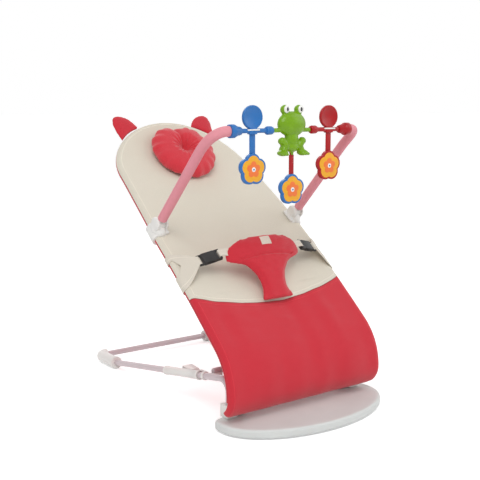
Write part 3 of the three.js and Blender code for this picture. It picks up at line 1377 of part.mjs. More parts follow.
function tagStrap() {
  const low = -TAG_PIN_DROP - TAG_DROP + FLOWER_RADIUS - FLOWER_SLOT;
  const flat = box(both(TAG_HALF_WIDTH), both(PENDANT_THICKNESS / 2), [low, -TAG_PIN_DROP - TAG_EYE_RADIUS]);
  const neckHeights = [-TAG_PIN_DROP - 2 * TAG_EYE_RADIUS, -TAG_PIN_DROP];
  const neck = box(both(TAG_EYE_RADIUS), both(PENDANT_THICKNESS / 2), neckHeights);
  const disc = (radius, length) =>
    new THREE.CylinderGeometry(radius, radius, length, ROUND).translate(0, 0, -TAG_PIN_DROP);
  const solid = join(flat, neck, disc(TAG_EYE_RADIUS, PENDANT_THICKNESS));
  const whole = cut(solid, disc(HANG_PIN_RADIUS + SEAT_GAP, TAG_DROP));
  return onBar(whole, 0);
}

function baseGroup() {
  const group = new THREE.Group();
  footPlate(group);
  pair(group, "front_socket", "white", frontSocket(1));
  pair(group, "hinge_pin", "steel", hingePin(1));
  pair(group, "front_tube", "tube", frontTube(1));
  pair(group, "collar", "white", collar(1));
  pair(group, "adapter", "white", adapter());
  pair(group, "side_tube", "tube", sideTube(1));
  pair(group, "rear_elbow", "white", rearElbow());
  piece(group, "rear_crossbar", "tube", rearCrossbar());
  return group;
}

function propGroup() {
  const group = new THREE.Group();
  piece(group, "prop_frame", "tube", propFrame());
  pair(group, "prop_sleeve", "white", propSleeve());
  return group;
}

function seatGroup() {
  const group = new THREE.Group();
  piece(group, "seat_frame_lower", "tube", lowerFrame());
  piece(group, "seat_frame_upper", "tube", upperFrame());
  piece(group, "seat_cover_upper", "cream", upperFrontCover());
  piece(group, "seat_cover_lower", "red", lowerFrontCover());
  piece(group, "seat_cover_back", "red", backCover());
  pair(group, "ear", "red", ear());
  piece(group, "head_pillow", "red", headPillow());
  piece(group, "waist_pad", "red", join(waistPad(), padTab(), mirrored(padTab())));
  piece(group, "pad_label", "white", padLabel());
  pair(group, "strap", "cream", strap());
  pair(group, "buckle_socket", "black", buckleSocket());
  pair(group, "buckle_tongue", "black", buckleTongue());
  pair(group, "prong_upper", "black", prong(1));
  pair(group, "prong_lower", "black", prong(-1));
  pair(group, "arch_clamp", "white", archClamp());
  return group;
}

function archGroup() {
  const group = new THREE.Group();
  pair(group, "arch_tube", "tube", archTube());
  pair(group, "arm_foam", "foam", armFoam());
  piece(group, "end_cup_blue", "blue", mirrored(endCup()));
  piece(group, "end_cup_red", "scarlet", endCup());
  piece(group, "toy_bar_blue", "blue", mirrored(toyBar()));
  piece(group, "toy_bar_red", "scarlet", toyBar());
  piece(group, "pendant_strap_blue", "blue", mirrored(pendantStrap()));
  piece(group, "pendant_strap_red", "scarlet", pendantStrap());
  piece(group, "flower_blue", "petal", mirrored(onBar(flower(PENDANT_HALF_WIDTH), TOY_OUT, PENDANT_DROP)));
  piece(group, "flower_red", "petal", onBar(flower(PENDANT_HALF_WIDTH), TOY_OUT, PENDANT_DROP));
  piece(group, "frog", "green", frog());
  piece(group, "frog_tag_strap", "red", tagStrap());
  piece(group, "frog_tag_flower", "petal", onBar(flower(TAG_HALF_WIDTH), 0, TAG_PIN_DROP + TAG_DROP));
  return group;
}

const bouncer = new THREE.Group();
bouncer.name = "baby_bouncer";
bouncer.add(baseGroup(), propGroup(), seatGroup(), archGroup());
for (const group of bouncer.children) group.position.y = -CENTRE_BACK;

export default bouncer;
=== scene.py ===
import json
import math
from contextlib import contextmanager

import bmesh
import bpy
from mathutils import Matrix, Vector, noise
from mathutils.geometry import interpolate_bezier

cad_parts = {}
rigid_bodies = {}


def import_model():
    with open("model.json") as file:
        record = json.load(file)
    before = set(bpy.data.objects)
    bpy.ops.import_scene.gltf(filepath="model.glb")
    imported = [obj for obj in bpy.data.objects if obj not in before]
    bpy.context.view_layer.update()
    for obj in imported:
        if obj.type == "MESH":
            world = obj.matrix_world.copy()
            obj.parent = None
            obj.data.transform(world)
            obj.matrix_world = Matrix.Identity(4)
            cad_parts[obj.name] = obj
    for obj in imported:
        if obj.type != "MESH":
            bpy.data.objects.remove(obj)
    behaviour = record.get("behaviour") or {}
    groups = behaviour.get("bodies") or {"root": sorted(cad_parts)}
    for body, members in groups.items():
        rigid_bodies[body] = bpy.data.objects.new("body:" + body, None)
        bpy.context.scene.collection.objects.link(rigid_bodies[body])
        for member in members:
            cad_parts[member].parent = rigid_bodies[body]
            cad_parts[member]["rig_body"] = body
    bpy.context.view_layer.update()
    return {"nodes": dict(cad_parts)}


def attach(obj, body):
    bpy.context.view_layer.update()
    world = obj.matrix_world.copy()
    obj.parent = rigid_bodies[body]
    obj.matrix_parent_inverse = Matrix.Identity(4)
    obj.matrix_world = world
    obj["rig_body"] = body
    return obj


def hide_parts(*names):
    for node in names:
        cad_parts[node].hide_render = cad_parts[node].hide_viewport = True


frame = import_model()

bl_info = {
    "name": "Baby bouncer",
    "version": (1, 0, 0),
    "blender": (4, 5, 0),
    "location": "View3D > Sidebar > Bouncer",
    "description": "Dresses the bouncer's CAD frame in cloth, foam and moulded parts",
    "category": "Add Mesh",
}

MM = 0.001
CENTRE_BACK = 240.5  # mm, from the hem at the foot plate to the middle of the frame
QUARTER = math.pi / 2
WELD = 0.00001  # metres between points that become one

# The seat sheet's side profile, in mm and radians, as the CAD model has it
HEM_HEIGHT = 30.0
HEM_CORNER = 22.0
HEM_RADIUS, HEM_TURN = 46.4, math.radians(74.6)
KNEE_RADIUS, KNEE_TURN = 133.7, QUARTER - math.radians(41.8)
BACK_LENGTH, BACK_BOW = 509.0, math.radians(8)
HEAD_LENGTH, HEAD_RADIUS = 165.0, 443.0
HEM_LENGTH = HEM_RADIUS * HEM_TURN
KNEE_LENGTH = KNEE_RADIUS * KNEE_TURN
PROFILE = (  # length and turn of each arc
    (HEM_LENGTH, -HEM_TURN),
    (KNEE_LENGTH, -KNEE_TURN),
    (BACK_LENGTH, -BACK_BOW),
    (HEAD_LENGTH, HEAD_LENGTH / HEAD_RADIUS),
)
BACK_START = HEM_LENGTH + KNEE_LENGTH
ARCH_START = BACK_START + BACK_LENGTH
SHEET_END = ARCH_START + HEAD_LENGTH
FOOT_HALF, MIDDLE_HALF, HEAD_HALF = 203.0, 200.0, 185.0
TAPER_START, TAPER_POWER = BACK_START + 280.0, 1.2
RAIL_RADIUS = 7.5
FRAME_CORNER = 25.0
HEM_BAR_ALONG = 16.0
WRAP = 11.5  # from the rail's middle line to the cover's face
CLOTH_GAP, SEAM_GAP = 0.3, 0.6
LEAST_LEAN = math.asin((CLOTH_GAP + SEAM_GAP) / WRAP)
FRONT_SAG, BACK_SAG = 11.0, 18.0
SAG_START, SAG_END = 0.08, 0.93
BACK_PANEL_START = 52.0
SEAM_SIDE, SEAM_CENTRE, SEAM_POWER = 125.0, 90.0, 2.4
FRAME_JOIN = 470.0
HINGE = Vector((142.0, 28.0, 36.0))

# Prop, base and arch, in mm
TUBE_RADIUS = 7.0
BASE_HALF = 166.0
SIDE_TUBE = ((111.0, 83.0), (500.0, 16.0))  # back and height where it starts and ends
FRONT_CORNER, COLLAR, ADAPTER, REAR_CORNER = 24.0, (107.5, 115.0), (129.0, 264.0), 522.0  # back along it
REAR_BACK, REAR_HEIGHT = 586.0, 14.5
PROP_BAR_ALONG, PROP_BAR_DROP, PROP_BAR_HALF = BACK_START + 100.0, 45.0, 130.0
PROP_FOOT = Vector((148.0, 108.0, 90.0))
PROP_LEG_OUT = 100.0
BUCKLE_ALONG = BACK_START + 196.0
CLAMP_ALONG = BACK_START + 318.0
PIVOT = Vector((188.26, 246.02, 389.77))
BAR = Vector((0.0, 36.02, 589.77))
ARCH_CLIMB = math.radians(45.7)
ARCH_STRAIGHT, ARCH_HALF, ARCH_EASE = 222, 159, 28  # up to the corner, out to it, and its handles
TOY_OUT = 100.0
SIDES = {"left": -1, "right": 1}
TOYS = {"left": "blue", "right": "red"}


def to_frame(point):
    """A point in mm, measured back from the hem, in the frame's metres."""
    return Vector((point[0] * MM, (point[1] - CENTRE_BACK) * MM, point[2] * MM))


def lerp(low, high, share):
    return low + (high - low) * share


def clamp(value):
    return max(0.0, min(1.0, value))


def steps(low, high, count):
    return [lerp(low, high, i / count) for i in range(count + 1)]


# The seat sheet


def profile_at(along):
    """How far back and how high the sheet's middle line is at a length along it, and its heading."""
    back, height, heading, left = 0.0, HEM_HEIGHT, QUARTER + HEM_TURN, along
    for index, (length, turn) in enumerate(PROFILE):
        run = left if index == len(PROFILE) - 1 else min(left, length)
        radius = length / turn
        ahead = heading + run / radius
        back += radius * (math.sin(ahead) - math.sin(heading))
        height -= radius * (math.cos(ahead) - math.cos(heading))
        heading = ahead
        left -= run
        if left <= 0:
            break
    return back, height, heading


def on_seat(out, along, lift):
    """A point in mm: out from the middle, along the sheet and lifted off it."""
    back, height, heading = profile_at(along)
    return Vector((out, back - lift * math.sin(heading), height + lift * math.cos(heading)))


def sheet_axes(along):
    """The way along the sheet and the way out of its upper face."""
    heading = profile_at(along)[2]
    return Vector((0, math.cos(heading), math.sin(heading))), Vector((0, -math.sin(heading), math.cos(heading)))


def side_half(along):
    """Half the sheet's width, leaving out its rounded ends."""
    if along < TAPER_START:
        return lerp(FOOT_HALF, MIDDLE_HALF, along / TAPER_START)
    share = min((along - TAPER_START) / (ARCH_START - TAPER_START), 1)
    return MIDDLE_HALF - (MIDDLE_HALF - HEAD_HALF) * share**TAPER_POWER


def half_width(along):
    if along < HEM_CORNER:
        rise = HEM_CORNER - along
        return side_half(along) - HEM_CORNER + math.sqrt(max(HEM_CORNER**2 - rise**2, 0))
    if along > ARCH_START:
        share = min((along - ARCH_START) / HEAD_LENGTH, 1)
        return HEAD_HALF * math.sqrt(max(1 - share**2, 0))
    return side_half(along)


def inset_at(out, along):
    """How far a place lies inside the sheet's outline."""
    if along <= ARCH_START:
        return half_width(along) - abs(out)
    across, up = out / HEAD_HALF, (along - ARCH_START) / HEAD_LENGTH
    reach = max(math.hypot(across, up), 1e-6)
    return (1 - reach) * reach / max(math.hypot(across / HEAD_HALF, up / HEAD_LENGTH), 1e-9)


def sag_share(out, along):
    """How deep the cloth hangs there, as a share of its deepest."""
    width = half_width(along)
    span = (along / SHEET_END - SAG_START) / (SAG_END - SAG_START)
    if width <= 0 or not 0 < span < 1:
        return 0.0
    return math.sin(math.pi * span) * max(0.0, 1 - (out / width) ** 2) ** 2


def seam_at(share):
    """Where the seam between the two panels is, for a share across."""
    return BACK_START + SEAM_CENTRE + (SEAM_SIDE - SEAM_CENTRE) * min(abs(share), 1) ** SEAM_POWER


# Modelling


def deselect():
    if bpy.context.object and bpy.context.object.mode != "OBJECT":
        bpy.ops.object.mode_set(mode="OBJECT")
    bpy.ops.object.select_all(action="DESELECT")


def only(obj):
    deselect()
    obj.select_set(True)
    bpy.context.view_layer.objects.active = obj
    return obj


def named(name):
    """The object that an operator has just added, renamed."""
    obj = bpy.context.object
    obj.name = name
    obj.data.name = name
    return obj


def settle(obj):
    """Puts the object's place into its mesh."""
    only(obj)
    bpy.ops.object.transform_apply(location=True, rotation=True, scale=True)
    return obj


def modify(obj, kind, **values):
    """Adds a modifier with these values and applies it."""
    only(obj)
    modifier = obj.modifiers.new(kind.title(), kind)
    for key, value in values.items():
        setattr(modifier, key, value)
    bpy.ops.object.modifier_apply(modifier=modifier.name)
    return obj


def smooth(obj, angle=40.0):
    only(obj)
    bpy.ops.object.shade_smooth_by_angle(angle=math.radians(angle))
    return obj


def rounded(obj, width, segments=3, angle=40.0):
    """Rounds the sharp edges and smooths what is left. Width is in mm."""
    modify(obj, "BEVEL", width=width * MM, segments=segments, limit_method="ANGLE", angle_limit=math.radians(angle))
    return smooth(obj, angle)


@contextmanager
def editing(obj, chosen=None):
    """Edit mode with the whole mesh selected, or the faces whose number chosen() picks, and object mode again."""
    only(obj)
    bpy.ops.object.mode_set(mode="EDIT")
    bpy.ops.mesh.select_all(action="DESELECT" if chosen else "SELECT")
    if chosen:
        bpy.ops.object.mode_set(mode="OBJECT")
        for face in obj.data.polygons:
            face.select = chosen(face.index)
        bpy.ops.object.mode_set(mode="EDIT")
    yield
    bpy.ops.object.mode_set(mode="OBJECT")


def outwards(obj):
    with editing(obj):
        bpy.ops.mesh.remove_doubles(threshold=WELD)
        bpy.ops.mesh.normals_make_consistent(inside=False)
    return obj


def flipped(obj):
    with editing(obj):
        bpy.ops.mesh.flip_normals()
    return obj


def joined(name, pieces):
    deselect()
    for piece in pieces:
        piece.select_set(True)
    bpy.context.view_layer.objects.active = pieces[0]
    bpy.ops.object.join()
    return named(name)


def twin(obj, name):
    """A copy on the other side, mirrored across the middle."""
    only(obj)
    bpy.ops.object.duplicate()
    other = named(name)
    other.scale.x = -1
    return flipped(settle(other))


def painted(obj, material):
    obj.data.materials.clear()
    obj.data.materials.append(bpy.data.materials[material])
    return obj


def body_of(node):
    return frame["nodes"][node]["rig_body"]


def finished(obj, material, *nodes, body=None):
    """Gives a piece its material, its body and the CAD nodes that it stands for."""
    painted(obj, material)
    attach(obj, body or body_of(nodes[0]))
    if nodes:
        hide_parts(*nodes)
    return obj


def block(name, low, high):
    """A box between two corners in mm."""
    low, high = to_frame(low), to_frame(high)
    deselect()
    bpy.ops.mesh.primitive_cube_add(size=1, location=(low + high) / 2)
    bpy.context.object.scale = high - low
    return settle(named(name))


def soft_block(name, low, high, width, segments=3):
    """A box between two corners in mm, with rounded edges."""
    return rounded(block(name, low, high), width, segments)


def ball(name, centre, radii, turn=0.0, segments=32):
    deselect()
    bpy.ops.mesh.primitive_uv_sphere_add(segments=segments, ring_count=segments // 2, radius=1)
    obj = named(name)
    obj.scale = Vector(radii) * MM
    obj.rotation_euler.y = turn
    obj.location = to_frame(centre)
    return settle(obj)


def swept(name, points, radius, resolution=6):
    """A tube along points in mm, with closed ends."""
    deselect()
    bpy.ops.curve.primitive_nurbs_path_add()
    obj = named(name)
    curve = obj.data
    curve.splines.clear()
    spline = curve.splines.new("POLY")
    spline.points.add(len(points) - 1)
    for point, place in zip(spline.points, points):
        point.co = (*to_frame(place), 1)
    curve.dimensions = "3D"
    curve.bevel_depth = radius * MM
    curve.bevel_resolution = resolution
    curve.use_fill_caps = True
    obj.location = (0, 0, 0)
    only(obj)
    bpy.ops.object.convert(target="MESH")
    return smooth(outwards(named(name)))


def extrude(*move):
    """Extrudes what is selected by a move in mm."""
    bpy.ops.mesh.extrude_region_move(TRANSFORM_OT_translate={"value": [part * MM for part in move]})


def turned(name, start, end, stations, sides=48):
    """A turned part about the line from start to end in mm. Stations are (distance, radius) along it."""
    axis = to_frame(end) - to_frame(start)
    deselect()
    bpy.ops.mesh.primitive_circle_add(vertices=sides, radius=stations[0][1] * MM, fill_type="NGON")
    obj = named(name)
    with editing(obj):
        bpy.ops.transform.translate(value=(0, 0, stations[0][0] * MM))
        for (before, wide), (distance, radius) in zip(stations, stations[1:]):
            extrude(0, 0, distance - before)
            ratio = radius / wide
            bpy.ops.transform.resize(value=(ratio, ratio, 1), center_override=(0, 0, distance * MM))
    obj.rotation_mode = "QUATERNION"
    obj.rotation_quaternion = Vector((0, 0, 1)).rotation_difference(axis)
    obj.location = to_frame(start)
    settle(obj)
    obj.rotation_mode = "XYZ"
    return smooth(outwards(obj), 50)


def bend(corners, radius, count=10):
    """Corners of a bent tube's route, rounded to its bend radius."""
    corners = [Vector(corner) for corner in corners]
    route = [corners[0]]
    for before, corner, after in zip(corners, corners[1:], corners[2:]):
        back, ahead = (before - corner).normalized(), (after - corner).normalized()
        half = back.angle(ahead) / 2
        centre = corner + (back + ahead).normalized() * (radius / math.sin(half))
        start = corner + back * (radius / math.tan(half)) - centre
        end = corner + ahead * (radius / math.tan(half)) - centre
        turn = math.pi - 2 * half
        for share in steps(0, 1, count):
            low = math.sin((1 - share) * turn) / math.sin(turn)
            high = math.sin(share * turn) / math.sin(turn)
            route.append(centre + start * low + end * high)
    return route + [corners[-1]]


def grid(name, columns, rows, place):
    """A sheet: place(u, v) gives a point in mm for shares from 0 to 1 across and along."""
    deselect()
    bpy.ops.mesh.primitive_grid_add(x_subdivisions=columns, y_subdivisions=rows, size=1)
    obj = named(name)
    for vertex in obj.data.vertices:
        vertex.co = to_frame(place(vertex.co.x + 0.5, vertex.co.y + 0.5))
    obj.data.update()
    return obj


def disc(name, sides, place):
    """A flat face: place(turn) gives a corner in mm."""
    deselect()
    bpy.ops.mesh.primitive_circle_add(vertices=sides, radius=1, fill_type="NGON")
    obj = named(name)
    for index, vertex in enumerate(obj.data.vertices):
        vertex.co = to_frame(place(index / sides * 2 * math.pi))
    return obj


def write_uv(obj, name, values):
    """Stores a pair of numbers for each vertex as a UV map."""
    layer = obj.data.uv_layers.get(name) or obj.data.uv_layers.new(name=name)
    for loop in obj.data.loops:
        layer.data[loop.index].uv = values[loop.vertex_index]


def write_edge(obj, columns, width):
    """The stitching's coordinates on a strap's grid, whose columns have this width in metres."""
    places = [divmod(index, columns + 1) for index in range(len(obj.data.vertices))]
    write_uv(obj, "Edge", [(min(column, columns - column) * width, row * 0.0016) for row, column in places])


# Values that a user changes


def linear(red, green, blue):
    """A colour from 0 to 255 as a screen shows it, in linear light."""
    values = [c / 255 for c in (red, green, blue)]
    return (*[c / 12.92 if c <= 0.04045 else ((c + 0.055) / 1.055) ** 2.4 for c in values], 1.0)


def colour(name, description, *value):
    return bpy.props.FloatVectorProperty(
        name=name, description=description, subtype="COLOR", size=4, min=0, max=1, default=linear(*value)
    )


def distance(name, description, value):
    return bpy.props.FloatProperty(
        name=name, description=description, subtype="DISTANCE", unit="LENGTH", min=0.0, default=value * MM
    )


def factor(name, description, value):
    return bpy.props.FloatProperty(name=name, description=description, subtype="FACTOR", min=0, max=1, default=value)


def amount(name, description, low, high, value):
    return bpy.props.IntProperty(name=name, description=description, min=low, max=high, default=value)


class BouncerCloth(bpy.types.PropertyGroup):
    cream: colour("Cream cloth", "Colour of the seat's upper panel", 225, 218, 202)
    red: colour("Red cloth", "Colour of the lower panel, the back and the ears", 208, 46, 60)
    pillow: colour("Pillow cloth", "Colour of the head pillow", 216, 56, 68)
    webbing: colour("Webbing", "Colour of the strap wings", 222, 214, 200)
    label: colour("Label", "Colour of the bare label on the waist pad", 228, 214, 200)
    weave_pitch: distance("Weave pitch", "Width of one thread of the seat cloth", 1.1)
    pillow_pitch: distance("Pillow weave", "Width of one thread of the pillow's cloth", 0.8)
    stitch_inset: distance("Stitch inset", "How far the stitched line lies inside an edge", 8)
    stitch_pitch: distance("Stitch length", "Length of one stitch and its gap", 4)
    wrinkle: distance("Wrinkles", "Depth of the soft wrinkles in the seat cloth", 1.5)


class BouncerPlastic(bpy.types.PropertyGroup):
    white: colour("White plastic", "Colour of the hubs and elbows", 232, 230, 226)
    plate: colour("Plate plastic", "Colour of the foot plate", 218, 221, 219)
    tube: colour("Tube paint", "Colour of the painted tubes", 207, 192, 196)
    foam: colour("Foam", "Colour of the foam on the toy arch", 229, 148, 159)
    blue: colour("Blue plastic", "Colour of the left toys", 40, 112, 184)
    scarlet: colour("Red plastic", "Colour of the right toys", 172, 12, 22)
    green: colour("Green plastic", "Colour of the frog", 120, 168, 4)
    yellow: colour("Petal yellow", "Colour of the flowers' petals", 240, 172, 30)
    orange: colour("Petal orange", "Colour of the flowers' inner petals", 240, 120, 50)
    black: colour("Buckle black", "Colour of the buckles", 24, 22, 22)
    rubber: colour("Rubber", "Colour of the pads under the plate", 70, 70, 74)
    gloss: factor("Gloss", "Roughness of the moulded parts", 0.3)


class BouncerShape(bpy.types.PropertyGroup):
    tube_rings: amount("Tube rings", "Quarter steps round a tube", 2, 12, 5)
    plate_rim: distance("Plate rim", "Radius of the foot plate's rounded edge", 5)
    pillow_swell: distance("Pillow swell", "How far the pillow's cloth may swell", 6)
    pad_swell: distance("Pad swell", "How far the waist pad's cloth may swell", 4)
    ear_swell: distance("Ear swell", "How far an ear's cloth may swell", 1.2)
    petal_count: amount("Petals", "Petals of a toy flower", 3, 9, 5)


# Materials


def feed(tree, made, *links):
    """Links or sets a node's inputs. A link pairs an input's name or number with a socket or a value."""
    for where, source in links:
        socket = made.inputs[where]
        if isinstance(source, bpy.types.NodeSocket):
            tree.links.new(source, socket)
        else:
            socket.default_value = source
    return made


def node(tree, kind, *links, **values):
    """A node with its values set and its inputs fed."""
    made = tree.nodes.new(kind)
    for key, value in values.items():
        setattr(made, key, value)
    return feed(tree, made, *links)


def math_node(tree, operation, *sources):
    return node(tree, "ShaderNodeMath", *enumerate(sources), operation=operation).outputs[0]


def grouped(tree, name, *links):
    return node(tree, "ShaderNodeGroup", *links, node_tree=bpy.data.node_groups[name])


def value_group(name, inputs, outputs):
    """A node group that takes a vector and these numbers, with nothing between its two ends yet."""
    group = bpy.data.node_groups.new(name, "ShaderNodeTree")
    group.interface.new_socket(name="Vector", in_out="INPUT", socket_type="NodeSocketVector")
    for label, value in inputs.items():
        socket = group.interface.new_socket(name=label, in_out="INPUT", socket_type="NodeSocketFloat")
        socket.default_value = value
    for label in outputs:
        group.interface.new_socket(name=label, in_out="OUTPUT", socket_type="NodeSocketFloat")
    return group, group.nodes.new("NodeGroupInput").outputs, group.nodes.new("NodeGroupOutput")


def weave_group():
    """A plain weave from the coordinates of the cloth: threads over and under each other. Its Tone is random slub in
    the yarn plus painted shade, darker in the hollows where a thread dips under.
    """
    group, given, end = value_group("Weave", {"Pitch": 0.001}, ("Height", "Tone"))
    parts = node(group, "ShaderNodeSeparateXYZ", (0, given["Vector"]))
    waves = []
    for axis in (0, 1):
        turns = math_node(group, "DIVIDE", parts.outputs[axis], given["Pitch"])
        angle = math_node(group, "MULTIPLY", turns, math.pi)
        waves.append(math_node(group, "SINE", angle))
    crossed = math_node(group, "MULTIPLY", *waves)
    height = math_node(group, "MULTIPLY_ADD", crossed, 0.5, 0.5)
    slub = node(group, "ShaderNodeTexNoise", ("Vector", given["Vector"]), ("Scale", 420.0), ("Detail", 2.0))
    # Tone: random slub in the yarn, plus painted shade that darkens the weave's hollows where a thread dips under
    tone = math_node(group, "MULTIPLY_ADD", slub.outputs["Fac"], 0.7, math_node(group, "MULTIPLY", height, 0.3))
    feed(group, end, ("Height", height), ("Tone", tone))


def stitch_group():
    """A stitched line beside an edge, from the distance to the edge and the length along it."""
    sizes = {"Inset": 0.008, "Pitch": 0.004, "Width": 0.0005}
    group, given, end = value_group("Stitching", sizes, ("Thread", "Groove"))
    parts = node(group, "ShaderNodeSeparateXYZ", (0, given["Vector"]))
    off = math_node(group, "ABSOLUTE", math_node(group, "SUBTRACT", parts.outputs[0], given["Inset"]))
    share = math_node(group, "DIVIDE", off, given["Width"])
    line = math_node(group, "LESS_THAN", share, 1.0)
    phase = math_node(group, "FRACT", math_node(group, "DIVIDE", parts.outputs[1], given["Pitch"]))
    dash = math_node(group, "LESS_THAN", phase, 0.7)
    fall = math_node(group, "MULTIPLY", share, 0.3)
    groove = math_node(group, "SUBTRACT", 1.0, math_node(group, "MINIMUM", fall, 1.0))
    feed(group, end, ("Thread", math_node(group, "MULTIPLY", line, dash)), ("Groove", groove))


def wear_group():
    """Faint cloudiness and grain of a moulded or painted surface."""
    values = {"Scale": 40.0, "Roughness": 0.3, "Spread": 0.08}
    group, given, end = value_group("Wear", values, ("Roughness", "Height", "Tone"))
    place = ("Vector", given["Vector"])
    cloud = node(group, "ShaderNodeTexNoise", place, ("Scale", given["Scale"]), ("Detail", 4.0))
    grain = node(group, "ShaderNodeTexNoise", place, ("Scale", 900.0), ("Detail", 2.0))
    centred = math_node(group, "SUBTRACT", cloud.outputs["Fac"], 0.5)
    rough = math_node(group, "MULTIPLY_ADD", centred, given["Spread"], given["Roughness"])
    feed(group, end, ("Roughness", rough), ("Height", grain.outputs["Fac"]), ("Tone", cloud.outputs["Fac"]))


def blank(name):
    """The node tree and the shader of a new material."""
    material = bpy.data.materials.new(name)
    material.use_nodes = True
    return material.node_tree, material.node_tree.nodes["Principled BSDF"]


def toned(tree, tone, colour_value, dark, light=1.0):
    """The colour, a little darker where tone is low."""
    ramp = node(tree, "ShaderNodeValToRGB", ("Fac", tone))
    for element, position, scale in zip(ramp.color_ramp.elements, (0.3, 0.7), (dark, light)):
        element.position = position
        element.color = (*[min(c * scale, 1) for c in colour_value[:3]], 1)
    return ramp.outputs["Color"]


def cloth_material(name, colour_value, pitch, cloth, sheen=0.25, stitched=False):
    """Woven cloth. What is stitched has the UV maps Cloth and Edge."""
    tree, shader = blank(name)
    if stitched:
        place = node(tree, "ShaderNodeUVMap", uv_map="Cloth").outputs["UV"]
    else:
        place = node(tree, "ShaderNodeTexCoord").outputs["Object"]
    weave = grouped(tree, "Weave", ("Vector", place), ("Pitch", pitch))
    # The weave's tone darkens the colour in random slubs and, as painted shade, in the weave's hollows
    face, height = toned(tree, weave.outputs["Tone"], colour_value, 0.9, 1.03), weave.outputs["Height"]
    if stitched:
        edge = ("Vector", node(tree, "ShaderNodeUVMap", uv_map="Edge").outputs["UV"])
        stitch = grouped(tree, "Stitching", edge, ("Inset", cloth.stitch_inset), ("Pitch", cloth.stitch_pitch))
        thread = (*[min(1, c * 1.25 + 0.02) for c in colour_value[:3]], 1)
        sides = ("Factor", stitch.outputs["Thread"]), (6, face), (7, thread)
        face = node(tree, "ShaderNodeMix", *sides, data_type="RGBA").outputs[2]
        height = math_node(tree, "ADD", height, math_node(tree, "MULTIPLY", stitch.outputs["Groove"], -1.6))
    bump = node(tree, "ShaderNodeBump", ("Height", height), ("Strength", 0.55), ("Distance", 0.0004))
    feed(tree, shader, ("Base Color", face), ("Normal", bump.outputs["Normal"]), ("Roughness", 0.85))
    feed(tree, shader, ("Sheen Weight", sheen), ("Sheen Roughness", 0.5), ("Specular IOR Level", 0.25))


def hard_material(
    name, colour_value, roughness, coat=0.0, grain=0.0001, metallic=0.0, dark=0.94, scale=40.0, specular=0.5
):
    """Plastic, paint, foam, rubber or steel. Grain is its depth in metres."""
    tree, shader = blank(name)
    place = node(tree, "ShaderNodeTexCoord").outputs["Object"]
    wear = grouped(tree, "Wear", ("Vector", place), ("Scale", scale), ("Roughness", roughness)).outputs
    bump = node(tree, "ShaderNodeBump", ("Height", wear["Height"]), ("Strength", 0.3), ("Distance", grain))
    face = toned(tree, wear["Tone"], colour_value, dark)
    feed(tree, shader, ("Base Color", face), ("Roughness", wear["Roughness"]), ("Normal", bump.outputs["Normal"]))
    feed(tree, shader, ("Metallic", metallic), ("Specular IOR Level", specular))
    feed(tree, shader, ("Coat Weight", coat), ("Coat Roughness", 0.12))


class BOUNCER_OT_materials(bpy.types.Operator):
    """Make the cloths, plastics, paint and foam"""

    bl_idname = "bouncer.materials"
    bl_label = "Materials"

    def execute(self, context):
        cloth, plastic = context.scene.bouncer_cloth, context.scene.bouncer_plastic
        weave_group()
        stitch_group()
        wear_group()
        pitch, fine = cloth.weave_pitch, cloth.pillow_pitch
        cloth_material("Cream cloth", cloth.cream, pitch, cloth, stitched=True)
        cloth_material("Red cloth", cloth.red, pitch, cloth, stitched=True)
        cloth_material("Ear cloth", cloth.red, fine, cloth)
        cloth_material("Pillow cloth", cloth.pillow, fine, cloth, sheen=0.35)
        cloth_material("Pad cloth", cloth.red, fine, cloth, sheen=0.3)
        cloth_material("Webbing", cloth.webbing, 2 * pitch, cloth, stitched=True)
        cloth_material("Label cloth", cloth.label, fine / 2, cloth, sheen=0.1)
        gloss = plastic.gloss
        hard_material("White plastic", plastic.white, gloss, coat=0.3, scale=25.0, dark=0.96)
        hard_material("Tube paint", plastic.tube, gloss, coat=0.4)
        hard_material("Foam", plastic.foam, 0.7, grain=0.0006, dark=0.95, scale=120.0)
        hard_material("Plate plastic", plastic.plate, gloss + 0.2, scale=25.0, dark=0.96, specular=0.3)
        hard_material("Blue plastic", plastic.blue, gloss, coat=0.05, specular=0.35)
        hard_material("Red plastic", plastic.scarlet, gloss, coat=0.05, specular=0.3)
        hard_material("Green plastic", plastic.green, gloss * 0.9, coat=0.1, dark=0.88, scale=60.0, specular=0.3)
        hard_material("Petal yellow", plastic.yellow, gloss + 0.1)
        hard_material("Petal orange", plastic.orange, gloss + 0.1)
        hard_material("Buckle black", plastic.black, gloss + 0.12, grain=0.0002)
        hard_material("Rubber", plastic.rubber, 0.85, grain=0.0004)
        hard_material("Steel", linear(170, 170, 174), 0.3, metallic=1.0)
        hard_material("Eye white", linear(240, 240, 236), 0.25, coat=0.5)
        hard_material("Eye black", linear(12, 12, 14), 0.2, coat=0.6)
        return {"FINISHED"}


# Cloth panels of the seat

RIM_INSETS = [WRAP * (1 - math.cos(lean)) for lean in steps(0, QUARTER, 7)]  # where the cloth goes round the rail
INNER_COLUMNS = 29
PANEL_THICKNESS = 1.2


def cover_point(out, along, side, sag, raise_by):
    """A point of the cover's face, over the sheet for side 1 and under it for side -1."""
    lean = max(LEAST_LEAN, math.acos(clamp(1 - inset_at(out, along) / WRAP)))
    dip = raise_by - sag * sag_share(out, along)
    return on_seat(out, along, -WRAP + side * WRAP * math.sin(lean) + dip)


def wrinkles(out, along, size):
    """Soft drag lines in mm: fine puckers at the edges, long folds over the knee."""
    inset = inset_at(out, along)
    free = clamp((inset - 12) / 30)
    slow = noise.noise((out / 70, along / 38, 0.3)) + 0.5 * noise.noise((out / 30, along / 17, 4.1))
    pucker = noise.noise((inset / 14, along / 9, 2.2)) * math.exp(-(((inset - 14) / 10) ** 2))
    long = noise.noise((out / 42, along / 260, 7.7)) if along < BACK_START + SEAM_SIDE else 0.0
    return size * min(1.0, along / 70) * (free * (slow + 3.4 * long) + 0.7 * pucker)


